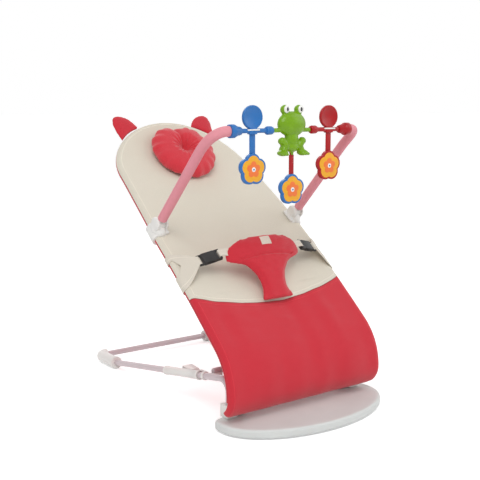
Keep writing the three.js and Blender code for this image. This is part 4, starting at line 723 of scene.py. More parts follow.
def panel(name, rows, side, sag, size, seams):
    """A cover panel. Rows give a place along the sheet for each share across; seams are its sewn ends."""
    half = [1 - inset / MIDDLE_HALF for inset in RIM_INSETS]
    half += [share * half[-1] for share in steps(1, 0, INNER_COLUMNS)[1:]]
    shares = [-share for share in half] + half[-2::-1]
    facts = []

    def place(u, v):
        share = shares[round(u * (len(shares) - 1))]
        along = rows[round(v * (len(rows) - 1))](share)
        out = share * half_width(along)
        inset = inset_at(out, along)
        ends = min(abs(along - seam(share)) for seam in seams)
        facts.append((out, along, inset, ends))
        tuck = -1.1 * math.exp(-((ends / 3) ** 2)) - 0.7 * math.exp(-(((ends - 12) / 2.5) ** 2))
        raise_by = wrinkles(out, along, size) + side * tuck * min(1, inset / WRAP)
        return cover_point(out, along, side, sag, raise_by)

    obj = grid(name, len(shares) - 1, len(rows) - 1, place)
    edge = [(min(inset - 2, ends), along if inset < ends else out) for out, along, inset, ends in facts]
    write_uv(obj, "Cloth", [(out * MM, along * MM) for out, along, _, _ in facts])
    write_uv(obj, "Edge", [(off * MM, run * MM) for off, run in edge])
    if side < 0:
        flipped(obj)
    modify(obj, "SOLIDIFY", thickness=PANEL_THICKNESS * MM, offset=-1.0, use_rim=True)
    return smooth(obj, 60)


def levels(alongs):
    """Rows that run straight across the sheet."""
    return [lambda share, along=along: along for along in alongs]


class BOUNCER_OT_covers(bpy.types.Operator):
    """Sew the seat's cream upper panel, red lower panel and red back"""

    bl_idname = "bouncer.covers"
    bl_label = "Seat covers"

    def execute(self, context):
        size = context.scene.bouncer_cloth.wrinkle / MM
        below, above = (lambda s: seam_at(s) - SEAM_GAP), (lambda s: seam_at(s) + SEAM_GAP)
        top = BACK_START + 2 * SEAM_SIDE
        hem = levels([0, 0.6, 2, 4, 7, 10, 12, 14, 18, HEM_CORNER])
        knee = levels(steps(HEM_CORNER, BACK_START, 30)[1:])
        rise = [lambda s, t=t: lerp(BACK_START, below(s), t) for t in steps(0, 1, 26)[1:]]
        start = [lambda s, t=t: lerp(above(s), top, t) for t in steps(0, 1, 34)]
        back = levels(steps(top, ARCH_START, 40)[1:])
        insets = RIM_INSETS + steps(WRAP, HEAD_LENGTH, 26)[1:-1]
        head = levels(SHEET_END - inset for inset in reversed(insets))
        rear = levels(steps(BACK_PANEL_START, ARCH_START, 90))
        for name, material, rows, side, sag, seams, length in (
            ("cover_lower", "Red cloth", hem + knee + rise, 1, FRONT_SAG, (below, hem[0]), 0.285),
            ("cover_upper", "Cream cloth", start + back + head, 1, FRONT_SAG, (above,), 0.56),
            ("cover_back", "Red cloth", rear + head, -1, BACK_SAG, (rear[0],), 0.79),
        ):
            piece = finished(panel(name, rows, side, sag, size, seams), material, f"seat_{name}")
        return {"FINISHED"}


# Stuffed pieces


def closed_loft(name, rings):
    """A closed skin over rings of points in mm."""
    deselect()
    bpy.ops.mesh.primitive_plane_add(size=1)
    obj = named(name)
    mesh = bmesh.new()
    loops = [[mesh.verts.new(to_frame(point)) for point in ring] for ring in rings]
    for low, high in zip(loops, loops[1:]):
        for i in range(len(low)):
            j = (i + 1) % len(low)
            mesh.faces.new((low[i], low[j], high[j], high[i]))
    for loop in (loops[0], loops[-1]):
        middle = mesh.verts.new(sum((vert.co for vert in loop), Vector()) / len(loop))
        for i in range(len(loop)):
            mesh.faces.new((loop[i], loop[(i + 1) % len(loop)], middle))
    mesh.to_mesh(obj.data)
    mesh.free()
    return outwards(obj)


def softened(obj, iterations):
    """Smooths a remeshed form and refines it once."""
    modify(obj, "SMOOTH", factor=0.5, iterations=iterations)
    modify(obj, "SUBSURF", levels=1, render_levels=1)
    only(obj)
    bpy.ops.object.shade_smooth()
    return obj


def stuff(obj, voxel, swell, normal=None):
    """Swells a closed form as stuffed cloth, at most by swell, and never back along a normal that is given."""
    modify(obj, "REMESH", mode="VOXEL", voxel_size=voxel * MM)
    rest = [vertex.co.copy() for vertex in obj.data.vertices]
    cloth = obj.modifiers.new("Cloth", "CLOTH")
    cloth.settings.use_pressure = True
    cloth.settings.uniform_pressure_force = 4
    cloth.settings.effector_weights.gravity = 0
    for number in range(1, 21):
        bpy.context.scene.frame_set(number)
    only(obj)
    bpy.ops.object.modifier_apply(modifier=cloth.name)
    bpy.context.scene.frame_set(1)
    for vertex, start in zip(obj.data.vertices, rest):
        move = vertex.co - start
        if normal is not None and move.dot(normal) < 0:
            move -= normal * move.dot(normal)
        vertex.co = start + move * min(1.0, swell / max(move.length, 1e-9))
    return softened(obj, 4)


def shaped(obj, shift):
    """Moves each vertex by shift(point), in mm of the hem's frame, without changing what it is joined to."""
    for vertex in obj.data.vertices:
        point = Vector((vertex.co.x / MM, vertex.co.y / MM + CENTRE_BACK, vertex.co.z / MM))
        vertex.co += shift(point) * MM
    obj.data.update()
    return obj


PILLOW_ALONG = BACK_START + 559
PILLOW_HALF = (84, 87)  # mm across and along, before its cloth swells
PILLOW_FULL = (87, 88)  # and after
PILLOW_ROWS = (  # share of the way to the rim, and height
    (0.03, 9), (0.07, 12), (0.13, 19), (0.21, 28), (0.34, 34),
    (0.52, 38), (0.72, 36), (0.86, 30), (0.94, 22), (0.98, 13),
)  # fmt: skip


class BOUNCER_OT_pillow(bpy.types.Operator):
    """Stuff and gather the round head pillow"""

    bl_idname = "bouncer.pillow"
    bl_label = "Head pillow"

    def execute(self, context):
        def ring(share, lift):
            points = []
            for i in range(96):
                turn = i / 96 * 2 * math.pi
                top = max(0, math.sin(turn))
                out = PILLOW_HALF[0] * share * math.cos(turn)
                along = PILLOW_ALONG + PILLOW_HALF[1] * share * math.sin(turn) - 5 * share * top**14
                crease = 8 * top**24 * min(1, share * 1.6)
                rest = 1.4 - FRONT_SAG * sag_share(out, along)
                points.append(on_seat(out, along + 3, rest + max(lift - crease, 2)))
            return points

        under = [ring(share, 0.0) for share in (0.2, 0.6, 0.88, 0.96)]
        over = [ring(share, lift) for share, lift in reversed(PILLOW_ROWS)]
        obj = closed_loft("pillow", under + over)
        origin = on_seat(0, PILLOW_ALONG, 0)
        run, normal = sheet_axes(PILLOW_ALONG)
        stuff(obj, 4, context.scene.bouncer_shape.pillow_swell, normal)

        def gather(point):
            off = point - origin
            out, up, lift = off.x, off.dot(run), off.dot(normal)
            wide, high = out / PILLOW_FULL[0], up / PILLOW_FULL[1]
            turn, reach = math.atan2(high, wide), math.hypot(wide, high)
            fold = math.cos(turn * 17 + 2.4 * noise.noise((turn * 1.5, 0.7, 0)))
            near_rim, near_dimple = clamp((reach - 0.62) / 0.3), clamp(1 - abs(reach - 0.25) / 0.24)
            depth = 2.4 * near_rim * (0.6 + 0.4 * noise.noise((turn * 3, 2, 0))) + 2.2 * near_dimple
            way = Vector((math.cos(turn), 0, 0)) + run * math.sin(turn)
            crease = 6 * math.exp(-((out / 4.5) ** 2)) if up > 10 and lift > 10 else 0.0
            return (way * near_rim + normal * min(1, lift / 12)) * (fold * depth) - normal * crease

        shaped(obj, gather)
        finished(obj, "Pillow cloth", "head_pillow")
        return {"FINISHED"}


EAR_OUT, EAR_HALF, EAR_LEAN, EAR_RISE = 104, 29, 19, 50  # its foot's middle and half, and where its tip goes
EAR_ROWS = ((0.3, 5.6), (0.55, 5.4), (0.75, 4.7), (0.9, 3.5), (0.985, 2.1))  # share of the way out, half thickness


class BOUNCER_OT_ears(bpy.types.Operator):
    """Stuff the two ears at the head end"""

    bl_idname = "bouncer.ears"
    bl_label = "Ears"

    def execute(self, context):
        def brim(out):
            return ARCH_START + HEAD_LENGTH * math.sqrt(1 - min(abs(out) / HEAD_HALF, 1) ** 2) + 0.9

        foot = [EAR_OUT + share * EAR_HALF for share in steps(-1, 1, 12)]
        outline = [(out, brim(out) + 0.5) for out in foot]
        for turn in steps(0, math.pi, 30)[1:-1]:
            up = math.sin(turn) ** 0.5
            out = EAR_OUT + EAR_LEAN * up + EAR_HALF * math.cos(turn) * (1 - 0.05 * up)
            outline.append((out, lerp(brim(EAR_OUT + EAR_HALF * math.cos(turn)), brim(EAR_OUT) + EAR_RISE, up)))
        middle = (EAR_OUT + 7, brim(EAR_OUT) + 19)

        def ring(share, lift):
            return [
                on_seat(lerp(middle[0], out, share), lerp(middle[1], along, share), -WRAP + lift)
                for out, along in outline
            ]

        under = [ring(share, -lift) for share, lift in EAR_ROWS]
        obj = closed_loft("ear_right_cloth", under + [ring(share, lift) for share, lift in reversed(EAR_ROWS)])
        stuff(obj, 3, context.scene.bouncer_shape.ear_swell)
        other = twin(obj, "ear_left_cloth")
        for piece, side in ((obj, "right"), (other, "left")):
            finished(piece, "Ear cloth", f"ear_{side}")
        return {"FINISHED"}


def seat_place(out, along, lift, tilt):
    """The buckle's own axes at a place over the sheet, as a matrix in mm."""
    sheet, normal = sheet_axes(along)
    across = Vector((math.cos(tilt), 0, 0)) - normal * math.sin(tilt)
    off = Vector((math.sin(tilt), 0, 0)) + normal * math.cos(tilt)
    return Matrix.LocRotScale(on_seat(out, along, lift), Matrix((across, sheet, off)).transposed(), None)


BUCKLE = seat_place(134, BUCKLE_ALONG, 30, math.radians(16))
PAD_START, PAD_END, PAD_HALF, PAD_RISE, PAD_DROOP = 89, 214, 98, 62, 19
PAD_ROWS = (  # share of the pad's length, and half its width there
    (-0.06, 44), (0, 41), (0.08, 38), (0.16, 36), (0.28, 38), (0.4, 44), (0.54, 58),
    (0.62, 72), (0.68, 88), (0.75, 101), (0.85, 99), (0.93, 90), (0.97, 78), (1, 62),
)  # fmt: skip
LABEL_HALF, LABEL_ENDS = 13, (0.79, 0.94)
TONGUE_BAR = ((-23.2, -3.5), (-23.2, 3.8), (-24, 5.4), (-26, 5.8), (-28.5, 5.2))  # out and up in the buckle


def pad_point(out, length, lift):
    """A point over the pad's middle surface, at a share of its length."""
    up = max(length, 0)
    droop = PAD_DROOP * (out / PAD_HALF) ** 2 * min(1, up * 1.4)
    along = BACK_START + lerp(PAD_START, PAD_END, length)
    return on_seat(out, along, 4 + PAD_RISE * up**1.15 - droop + lift)


def tab_place(u, v):
    """The pad's tab: up through the buckle tongue's slot, over its bar and down to the pad."""
    shift = (2 * u - 1) * 8.6
    if v < 0.5:
        step = min(int(v * 8), 3)
        out, lift = (lerp(a, b, v * 8 - step) for a, b in zip(TONGUE_BAR[step], TONGUE_BAR[step + 1]))
        return BUCKLE @ Vector((out, shift, lift))
    start = BUCKLE @ Vector((TONGUE_BAR[-1][0], shift, TONGUE_BAR[-1][1]))
    return start.lerp(pad_point(80, 0.856 + shift / (PAD_END - PAD_START), 0), (v - 0.5) * 2)


class BOUNCER_OT_waist_pad(bpy.types.Operator):
    """Stuff the waist pad, fold it below its band, and sew on its bare label and tabs"""

    bl_idname = "bouncer.waist_pad"
    bl_label = "Waist pad"

    def execute(self, context):
        def ring(length, half):
            crown = 4.4 * math.sqrt(math.sin(math.pi * (0.1 + 0.82 * length)))
            bulge = [(s * half, crown * math.sqrt(max(0, 1 - s**4))) for s in steps(-1, 1, 24)]
            under = [pad_point(out, length, -2 - lift) for out, lift in bulge]
            return under + [pad_point(out, length, 2.5 + lift) for out, lift in reversed(bulge)]

        obj = closed_loft("waist_pad_cloth", [ring(length, half - 1) for length, half in PAD_ROWS])
        stuff(obj, 3.5, context.scene.bouncer_shape.pad_swell)
        normal = sheet_axes(BACK_START + 160)[1]
        high, low = pad_point(0, 0.70, 0), pad_point(0, 0.66, 0)
        run = (high - low).normalized()

        def fold(point):
            off = (point - high).dot(run) + 0.0012 * point.x**2
            ripple = noise.noise((point.x / 16, point.z / 9, 1.5))
            crease = 3.2 * math.exp(-((off / 3.2) ** 2)) if (point - high).dot(normal) > -2 else 0.0
            return normal * (0.8 * ripple - crease)

        shaped(obj, fold)
        finished(obj, "Pad cloth", "waist_pad")

        def over_pad(u, v):
            return pad_point(lerp(-LABEL_HALF, LABEL_HALF, u), lerp(*LABEL_ENDS, v), 13)

        label = grid("pad_label_cloth", 12, 12, over_pad)
        modify(label, "SHRINKWRAP", target=obj, wrap_mode="ABOVE_SURFACE", offset=CLOTH_GAP * MM)
        modify(label, "SOLIDIFY", thickness=0.5 * MM, offset=1.0)
        tab = grid("waist_tab_right", 8, 24, tab_place)
        write_uv(tab, "Cloth", [(v.co.x, v.co.y) for v in tab.data.vertices])
        write_edge(tab, 8, 0.004)
        modify(tab, "SOLIDIFY", thickness=1.3 * MM, offset=0.0)
        smooth(tab, 60)
        for piece in (tab, twin(tab, "waist_tab_left")):
            finished(piece, "Webbing", body="seat")
        finished(smooth(label), "Label cloth", "pad_label")
        return {"FINISHED"}


# Base, prop and seat frame

PLATE_HALF, PLATE_FRONT, PLATE_REAR, PLATE_SQUARENESS = 204.0, 119.0, 40.0, 0.42


def on_side_tube(sign, back):
    """A point of the base's side tube."""
    (start, high), (end, low) = SIDE_TUBE
    return Vector((sign * BASE_HALF, back, lerp(high, low, (back - start) / (end - start))))


def tube(name, route, rings, *nodes, radius=TUBE_RADIUS):
    return finished(swept(name, route, radius, rings), "Tube paint", *nodes)


class BOUNCER_OT_plate(bpy.types.Operator):
    """Mould the half-moon foot plate with its rounded rim"""

    bl_idname = "bouncer.plate"
    bl_label = "Foot plate"

    def execute(self, context):
        rim = context.scene.bouncer_shape.plate_rim

        def place(turn):
            wide, deep = math.cos(turn), math.sin(turn)
            if deep < 0:
                return PLATE_HALF * wide, PLATE_FRONT * deep, 2
            wide = math.copysign(abs(wide) ** PLATE_SQUARENESS, wide)
            return PLATE_HALF * wide, PLATE_REAR * deep**PLATE_SQUARENESS, 2

        obj = disc("plate_top", 160, place)
        with editing(obj):
            extrude(0, 0, 18)
            bpy.ops.mesh.inset(thickness=2 * rim, depth=0)
            bpy.ops.mesh.inset(thickness=2.5 * MM, depth=-0.7 * MM)
        finished(rounded(outwards(obj), rim / MM, 6, 60), "Plate plastic", "foot_plate_top")
        return {"FINISHED"}


class BOUNCER_OT_base(bpy.types.Operator):
    """Bend the base tubes and mould their collars, adapters and rear elbows"""

    bl_idname = "bouncer.base"
    bl_label = "Base tubes"

    def execute(self, context):
        rings = context.scene.bouncer_shape.tube_rings
        lip = [(0, 7.4), (0, 8.2), (0.7, 8.9), (6.3, 8.9), (7, 8.2), (7, 7.4)]
        ribs = [(0, 7.6), (0, 9.6), (1, 10.3), (7, 10.3), (8, 9.5)]
        flare = [(0, 7.4), (0, 13.6), (1.2, 14.9), (5, 14.9), (6.5, 13.9)]
        for side, sign in SIDES.items():
            start, corner = (sign * BASE_HALF, FRONT_CORNER, 35.3), on_side_tube(sign, FRONT_CORNER)
            route = bend([start, corner, on_side_tube(sign, ADAPTER[0] + 20)], 24, 14)
            tube(f"front_leg_{side}", route, rings, f"front_tube_{side}")
            route = [on_side_tube(sign, back) for back in (ADAPTER[1] - 20, REAR_CORNER)]
            tube(f"side_leg_{side}", route, rings, f"side_tube_{side}")
            ends = [on_side_tube(sign, back) for back in COLLAR]
            finished(turned(f"collar_ring_{side}", *ends, lip), "White plastic", f"collar_{side}")
            ends = [on_side_tube(sign, back) for back in ADAPTER]
            length = (ends[1] - ends[0]).length
            mirror = [(length - place, radius) for place, radius in reversed(ribs)]
            finished(turned(f"adapter_sleeve_{side}", *ends, ribs + mirror), "White plastic", body="base")
            route = ((BASE_HALF, REAR_CORNER), (BASE_HALF, REAR_BACK), (149, REAR_BACK))
            route = [on_side_tube(sign, 500), *[(sign * out, back, REAR_HEIGHT) for out, back in route]]
            elbow = swept("elbow", bend(route, 16, 12), 14, rings + 2)
            mouth = turned("mouth", on_side_tube(sign, 499), on_side_tube(sign, 506), flare)
            low, high = sorted((sign * 151, sign * 164))
            sole = soft_block("sole", (low, REAR_BACK - 8, 0), (high, REAR_BACK + 8, 14), 1, 2)
            finished(joined(f"elbow_{side}", [elbow, mouth, sole]), "White plastic", f"rear_elbow_{side}")
        tube("cross_tube", [(x, REAR_BACK, REAR_HEIGHT) for x in (-159, 159)], rings, "rear_crossbar")
        return {"FINISHED"}


def rail(sign, alongs):
    """The middle line of the frame's tube on one side."""
    return [on_seat(sign * (half_width(along) - WRAP), along, -WRAP) for along in alongs]


class BOUNCER_OT_frame(bpy.types.Operator):
    """Bend the seat's frame, its cross bar and the prop"""

    bl_idname = "bouncer.frame"
    bl_label = "Seat frame and prop"

    def execute(self, context):
        rings = context.scene.bouncer_shape.tube_rings
        corner_end = HEM_BAR_ALONG + FRAME_CORNER
        corner_out = half_width(corner_end) - WRAP - FRAME_CORNER

        def side(sign):
            turns = [(FRAME_CORNER * math.cos(t), FRAME_CORNER * math.sin(t)) for t in steps(0, QUARTER, 8)[1:]]
            corner = [on_seat(sign * (corner_out + out), corner_end - drop, -WRAP) for out, drop in turns]
            return rail(sign, steps(FRAME_JOIN, corner_end, 40)) + corner

        pieces = [swept("frame_lower_rail", side(-1) + side(1)[::-1], RAIL_RADIUS, rings)]
        out = half_width(PROP_BAR_ALONG) - WRAP
        route = [(-out, -WRAP), (-PROP_BAR_HALF, -PROP_BAR_DROP), (PROP_BAR_HALF, -PROP_BAR_DROP), (out, -WRAP)]
        route = bend([on_seat(x, PROP_BAR_ALONG, lift) for x, lift in route], 30)
        pieces.append(swept("cross", route, TUBE_RADIUS, rings))
        low, high = sorted((on_seat(0, HEM_BAR_ALONG, -WRAP).y, HINGE.y))
        for sign in SIDES.values():
            left, right = sign * HINGE.x - 3.5, sign * HINGE.x + 3.5
            ends = (left, HINGE.y, HINGE.z), (right, HINGE.y, HINGE.z)
            pieces.append(turned("eye", *ends, [(0, 4.5), (0, 8), (7, 8), (7, 4.5)]))
            pieces.append(soft_block("arm", (left, low, HINGE.z - 5), (right, high, HINGE.z + 5), 1, 2))
        finished(joined("frame_rails_lower", pieces), "Tube paint", "seat_frame_lower")
        arch = [
            on_seat(-(HEAD_HALF - WRAP) * math.cos(t), ARCH_START + (HEAD_LENGTH - WRAP) * math.sin(t), -WRAP)
            for t in steps(0, math.pi, 60)[1:-1]
        ]
        left, right = (rail(sign, steps(FRAME_JOIN + 1, ARCH_START, 16)) for sign in (-1, 1))
        tube("frame_rails", left + arch + right[::-1], rings, "seat_frame_upper", radius=RAIL_RADIUS)
        half, back, height = PROP_FOOT
        pivot = on_seat(0, PROP_BAR_ALONG, -PROP_BAR_DROP)
        run = (Vector((0, back, height)) - pivot).normalized() * 11
        tip = [(0, 3), (0.6, 5.8), (3, 7)]
        foot = tip + [(2 * half - place, radius) for place, radius in reversed(tip)]
        bars = [turned("foot", (-half, back, height), (half, back, height), foot)]
        for x in (-PROP_LEG_OUT, PROP_LEG_OUT):
            bars.append(swept("leg", [pivot + run + Vector((x, 0, 0)), (x, back, height)], 6, rings))
        finished(joined("prop_bars", bars), "Tube paint", "prop_frame")
        return {"FINISHED"}


# Straps, arch and toys

WEB_HALF, WING_HALF = 10, 47  # half the strap's width at its buckle and at the rail
WEB_END, WING_END = 0.12, 0.72  # shares of its length
WEB_TURN, RAIL_TURN = 47, -60  # degrees round the rail where the strap meets it and ends
WEB_COLUMNS = 40


class BOUNCER_OT_straps(bpy.types.Operator):
    """Cut the webbing wings that run from the rails to the buckles"""

    bl_idname = "bouncer.straps"
    bl_label = "Strap wings"

    def execute(self, context):
        normal = sheet_axes(BUCKLE_ALONG)[1]

        def buckle_point(out, shift, lift):
            return BUCKLE @ Vector((out, shift, lift))

        def rail_point(degrees, shift):
            reach, turn, along = WRAP + 1.4, math.radians(degrees), BUCKLE_ALONG + shift
            out = half_width(along) - WRAP
            return on_seat(out + reach * math.cos(turn), along, -WRAP + reach * math.sin(turn))

        def place(u, v):
            shift = 2 * u - 1
            if v < WEB_END:
                turn = v / WEB_END * 2.2
                return buckle_point(23.5 - 2.9 * math.sin(turn), shift * WEB_HALF, 0.7 - 2.9 * math.cos(turn))
            if v >= WING_END:
                return rail_point(lerp(WEB_TURN, RAIL_TURN, (v - WING_END) / (1 - WING_END)), shift * WING_HALF)
            wing = (v - WEB_END) / (WING_END - WEB_END)
            last = rail_point(WEB_TURN, shift * WING_HALF)
            straight, curved = (
                buckle_point(24.5, shift * half, 3.4).lerp(last, wing)
                for half in (WEB_HALF, lerp(WEB_HALF, WING_HALF, wing**1.5))
            )
            ripple = (1 - wing) * wing * 3 * noise.noise((u * 3, v * 4, 0.4))
            return straight.lerp(curved, 0.5) + normal * ripple

        def in_opening(number):
            row, column = divmod(number, WEB_COLUMNS)
            return row > 34 and abs(column - 24) < 9 * min(1, (row - 33) / 10)

        obj = grid("strap_right_web", WEB_COLUMNS, 60, place)
        write_uv(obj, "Cloth", [(v.co.x, (v.co.y + v.co.z) * 0.7) for v in obj.data.vertices])
        write_edge(obj, WEB_COLUMNS, 0.0018)
        with editing(obj, in_opening):
            bpy.ops.mesh.delete(type="FACE")
        modify(obj, "SOLIDIFY", thickness=1.6 * MM, offset=0.0)
        smooth(obj, 60)
        for piece, side in ((obj, "right"), (twin(obj, "strap_left_web"), "left")):
            finished(piece, "Webbing", f"strap_{side}")
        return {"FINISHED"}


def arch_route(start, end_out):
    """The right arm's middle line, from a distance along it to a place out on the bar's line."""
    climb = Vector((0, -math.cos(ARCH_CLIMB), math.sin(ARCH_CLIMB)))
    low, high = PIVOT + climb * ARCH_STRAIGHT, Vector((ARCH_HALF, BAR.y, BAR.z))
    curve = interpolate_bezier(low, low + climb * ARCH_EASE, high + Vector((ARCH_EASE, 0, 0)), high, 24)
    return [PIVOT + climb * start, PIVOT + climb * 120, *curve, Vector((end_out, BAR.y, BAR.z))]


CAP_STATIONS = [(0.4, 13), (0.4, 14.8), (3.4, 14.8), (5, 13.8), (6, 11), (6.3, 6), (6.4, 1)]
SLEEVE_STATIONS = [(0, 12.2), (0, 16.2), (1.6, 17.4), (38.4, 17.4), (40, 16.2), (40, 12.2)]
CUP_STATIONS = [
    (0, 11.6), (0, 12.9), (0.8, 13.5), (11, 13.5), (12.6, 12.8), (13.4, 11.4), (15, 10.4), (18, 10.2),
    (19, 9.4), (20.5, 8.9), (24, 8.9), (25, 8.1), (27.2, 7.8), (28, 7), (28, 5),
]  # fmt: skip


class BOUNCER_OT_arch(bpy.types.Operator):
    """Make the arch's foam sleeves, hubs, caps and end cups"""

    bl_idname = "bouncer.arch"
    bl_label = "Toy arch"

    def execute(self, context):
        rings = context.scene.bouncer_shape.tube_rings + 2
        foam = rounded(swept("foam_right", arch_route(15, 156.3), 10.5, rings), 1.6, 3, 60)
        for piece, side in ((foam, "right"), (twin(foam, "foam_left"), "left")):
            finished(piece, "Foam", f"arm_foam_{side}")
        egg = [(23 - 23 * math.cos(turn), 15.6 * math.sin(turn)) for turn in steps(0.06, math.pi - 0.06, 18)]
        for side, sign in SIDES.items():
            for face in (-1, 1):
                ends = [(sign * PIVOT.x + face * out, PIVOT.y, PIVOT.z) for out in (8.2, 14)]
                cap = turned(f"hub_cap_{side}_{'in' if face * sign < 0 else 'out'}", *ends, CAP_STATIONS)
                finished(cap, "White plastic", body="seat")
            ends = [on_seat(sign * 188, CLAMP_ALONG + shift, 3) for shift in (-23, 23)]
            finished(turned(f"hub_body_{side}", *ends, egg), "White plastic", body="seat")
            ends = rail(sign, [CLAMP_ALONG - 20, CLAMP_ALONG + 20])
            finished(turned(f"clamp_sleeve_{side}", *ends, SLEEVE_STATIONS), "White plastic", body="seat")
            ends = [(sign * out, BAR.y, BAR.z) for out in (156, 128)]
            toy = TOYS[side]
            finished(turned(f"cup_{side}", *ends, CUP_STATIONS), f"{toy.title()} plastic", f"end_cup_{toy}")
        return {"FINISHED"}


COUPLER_STATIONS = [(0, 6), (0.8, 8), (3, 8.8), (14, 8.8), (16.2, 8), (17, 6.5), (17, 3.5)]
PADDLE_STATIONS = [
    (0.6, 1), (0.6, 18.4), (0, 19.6), (0, 21), (1, 22), (6, 22), (7, 21), (7, 19.6), (6, 18.4), (6, 1),
]  # fmt: skip


class BOUNCER_OT_toy_bars(bpy.types.Operator):
    """Mould the two toy bars with their paddles, keepers and couplers"""

    bl_idname = "bouncer.toy_bars"
    bl_label = "Toy bars"

    def execute(self, context):
        _, y, z = BAR
        for side, sign in SIDES.items():
            toy, x = TOYS[side], sign * TOY_OUT
            rod = turned("rod", (sign * 130, y, z), (sign * 60, y, z), [(0, 4), (0, 4.6), (70, 4.6), (70, 4)])
            coupler = turned("coupler", (sign * 66.5, y, z), (sign * 49.5, y, z), COUPLER_STATIONS, sides=8)
            rounded(coupler, 1, 3, 30)
            keeper = soft_block("keeper", (x - 9.5, y - 5, z - 7), (x + 9.5, y + 5, z + 5.4), 1.4)
            # A glossy white strip on the bar's front over the strap's slot: a painted highlight along the slot's
            # edge
            slot = soft_block(f"bar_slot_{toy}", (x - 15, y - 5.8, z + 0.4), (x + 15, y - 4.2, z + 3.4), 0.6, 2)
            ends = [(x, y + shift, z + 26.5) for shift in (3.5, -3.5)]
            paddle = turned("paddle", *ends, PADDLE_STATIONS)
            centre = to_frame((x, y, z + 26.5))
            oval = Matrix.Diagonal((24 / 22, 1, 23.5 / 22, 1))
            paddle.data.transform(Matrix.Translation(centre) @ oval @ Matrix.Translation(-centre))
            bar = joined(f"bar_{toy}", [rod, coupler, keeper, paddle])
            finished(bar, f"{toy.title()} plastic", f"toy_bar_{toy}")
            finished(slot, "Eye white", body="toy_arch")
        return {"FINISHED"}


def petals(name, centre, radius, wave, depth, thickness, count):
    """A flower, upright and facing forwards; depth is how far its face lies behind the bar's middle."""

    def place(turn):
        reach = radius - wave * (1 - abs(math.cos(count * turn / 2)) ** 0.8)
        return centre[0] + reach * math.sin(turn), centre[1] + depth, centre[2] + reach * math.cos(turn)

    obj = disc(name, 120, place)
    with editing(obj):
        extrude(0, thickness, 0)
    return rounded(outwards(obj), min(1.4, thickness / 3), 3, 50)


PENDANTS = (  # place out, drop to the flower and to the strap's top, half its width, name, rim, body, nodes
    (-TOY_OUT, 76, 5, 7, "blue", "Blue plastic", "pendant_blue", ("pendant_strap_blue", "flower_blue")),
    (TOY_OUT, 76, 5, 7, "red", "Red plastic", "pendant_red", ("pendant_strap_red", "flower_red")),
    (0, 121, 50, 6, "tag", "Blue plastic", "frog_tag", ("frog_tag_strap", "frog_tag_flower")),
)
PETAL_LAYERS = (  # name, radius, wave, depth, thickness, material
    ("face", 27.5, 5, -5.0, 1.2, "Petal yellow"),
    ("inner", 16.5, 5, -5.5, 1.0, "Petal orange"),
    ("back", 27.5, 5, 3.8, 1.2, "Petal yellow"),
    ("back_inner", 16.5, 5, 4.5, 1.0, "Petal orange"),
)
DOTS = ((5.2, 6.2, "Eye white"), (2.3, 6.6, "Blue plastic"))  # radius, reach forwards, material


class BOUNCER_OT_pendants(bpy.types.Operator):
    """Hang the three flowers on their straps"""

    bl_idname = "bouncer.pendants"
    bl_label = "Flower pendants"

    def execute(self, context):
        count = context.scene.bouncer_shape.petal_count
        _, y, z = BAR
        for x, drop, start, half, name, rim, body, nodes in PENDANTS:
            top = z - start
            band = soft_block("band", (x - half, y - 1.2, z - drop + 22), (x + half, y + 1.2, top), 0.9)
            if name == "tag":
                ends = (x, y - 1.2, z - 47), (x, y + 1.2, z - 47)
                eye = turned("eye", *ends, [(0, 2.5), (0, 3.4), (2.4, 3.4), (2.4, 2.5)])
                neck = soft_block("neck", (-3.2, y - 1.1, z - 53), (3.2, y + 1.1, z - 48), 0.5, 2)
                band = joined("band", [band, neck])
            else:
                ends = (x - half, y, top), (x + half, y, top)
                eye = turned("eye", *ends, [(0, 1.6), (0, 2.4), (2 * half, 2.4), (2 * half, 1.6)])
            strap = joined(f"pendant_band_{name}", [band, eye])
            finished(strap, "Red plastic" if name == "tag" else rim, nodes[0])
            centre = (x, y, z - drop)
            finished(petals(f"flower_rim_{name}", centre, 32, 5.5, -4.5, 9, count), rim, nodes[1])
            for layer, radius, wave, depth, thickness, material in PETAL_LAYERS:
                made = petals(f"flower_{layer}_{name}", centre, radius, wave, depth, thickness, count)
                finished(made, material, body=body)
            for number, (radius, reach, material) in enumerate(DOTS):
                ends = (x, y + 5, z - drop), (x, y - reach, z - drop)
                stations = [(0, radius), (4 + reach, radius), (5 + reach, radius * 0.7)]
                finished(turned(f"flower_dot_{name}_{number}", *ends, stations, 32), material, body=body)
        return {"FINISHED"}


FROG_TRUNK = (  # name, height over the axle, radii
    ("head", 12, (35, 17, 26)),
    ("belly", -19, (16, 12, 23)),
    ("seat", -34, (19, 12, 11)),
)
FROG_LIMBS = (  # name, place from the axle, radii, lean in degrees
    ("socket", (18, 0, 41), (10, 9, 10), 0),
    ("thigh", (20, -2, -28), (8, 10, 15), 38),
    ("knee", (26, -2, -22), (8.5, 9, 8), 0),
    ("shin", (22, -1, -38), (7.5, 10, 11), -30),
    ("foot", (26, -4, -46), (11, 13, 6.5), 0),
    *(("toe", (out, -12, -48.5), (3.4, 6, 3.2), 0) for out in (21.6, 27.9, 34.2)),
)
FROG_EYES = (
    ("frog_eye", (18.4, -7.2, 42), (6.8, 3, 7.8), "Eye white"),
    ("frog_pupil", (18, -9.7, 41.8), (2.8, 1.1, 4.4), "Eye black"),
)


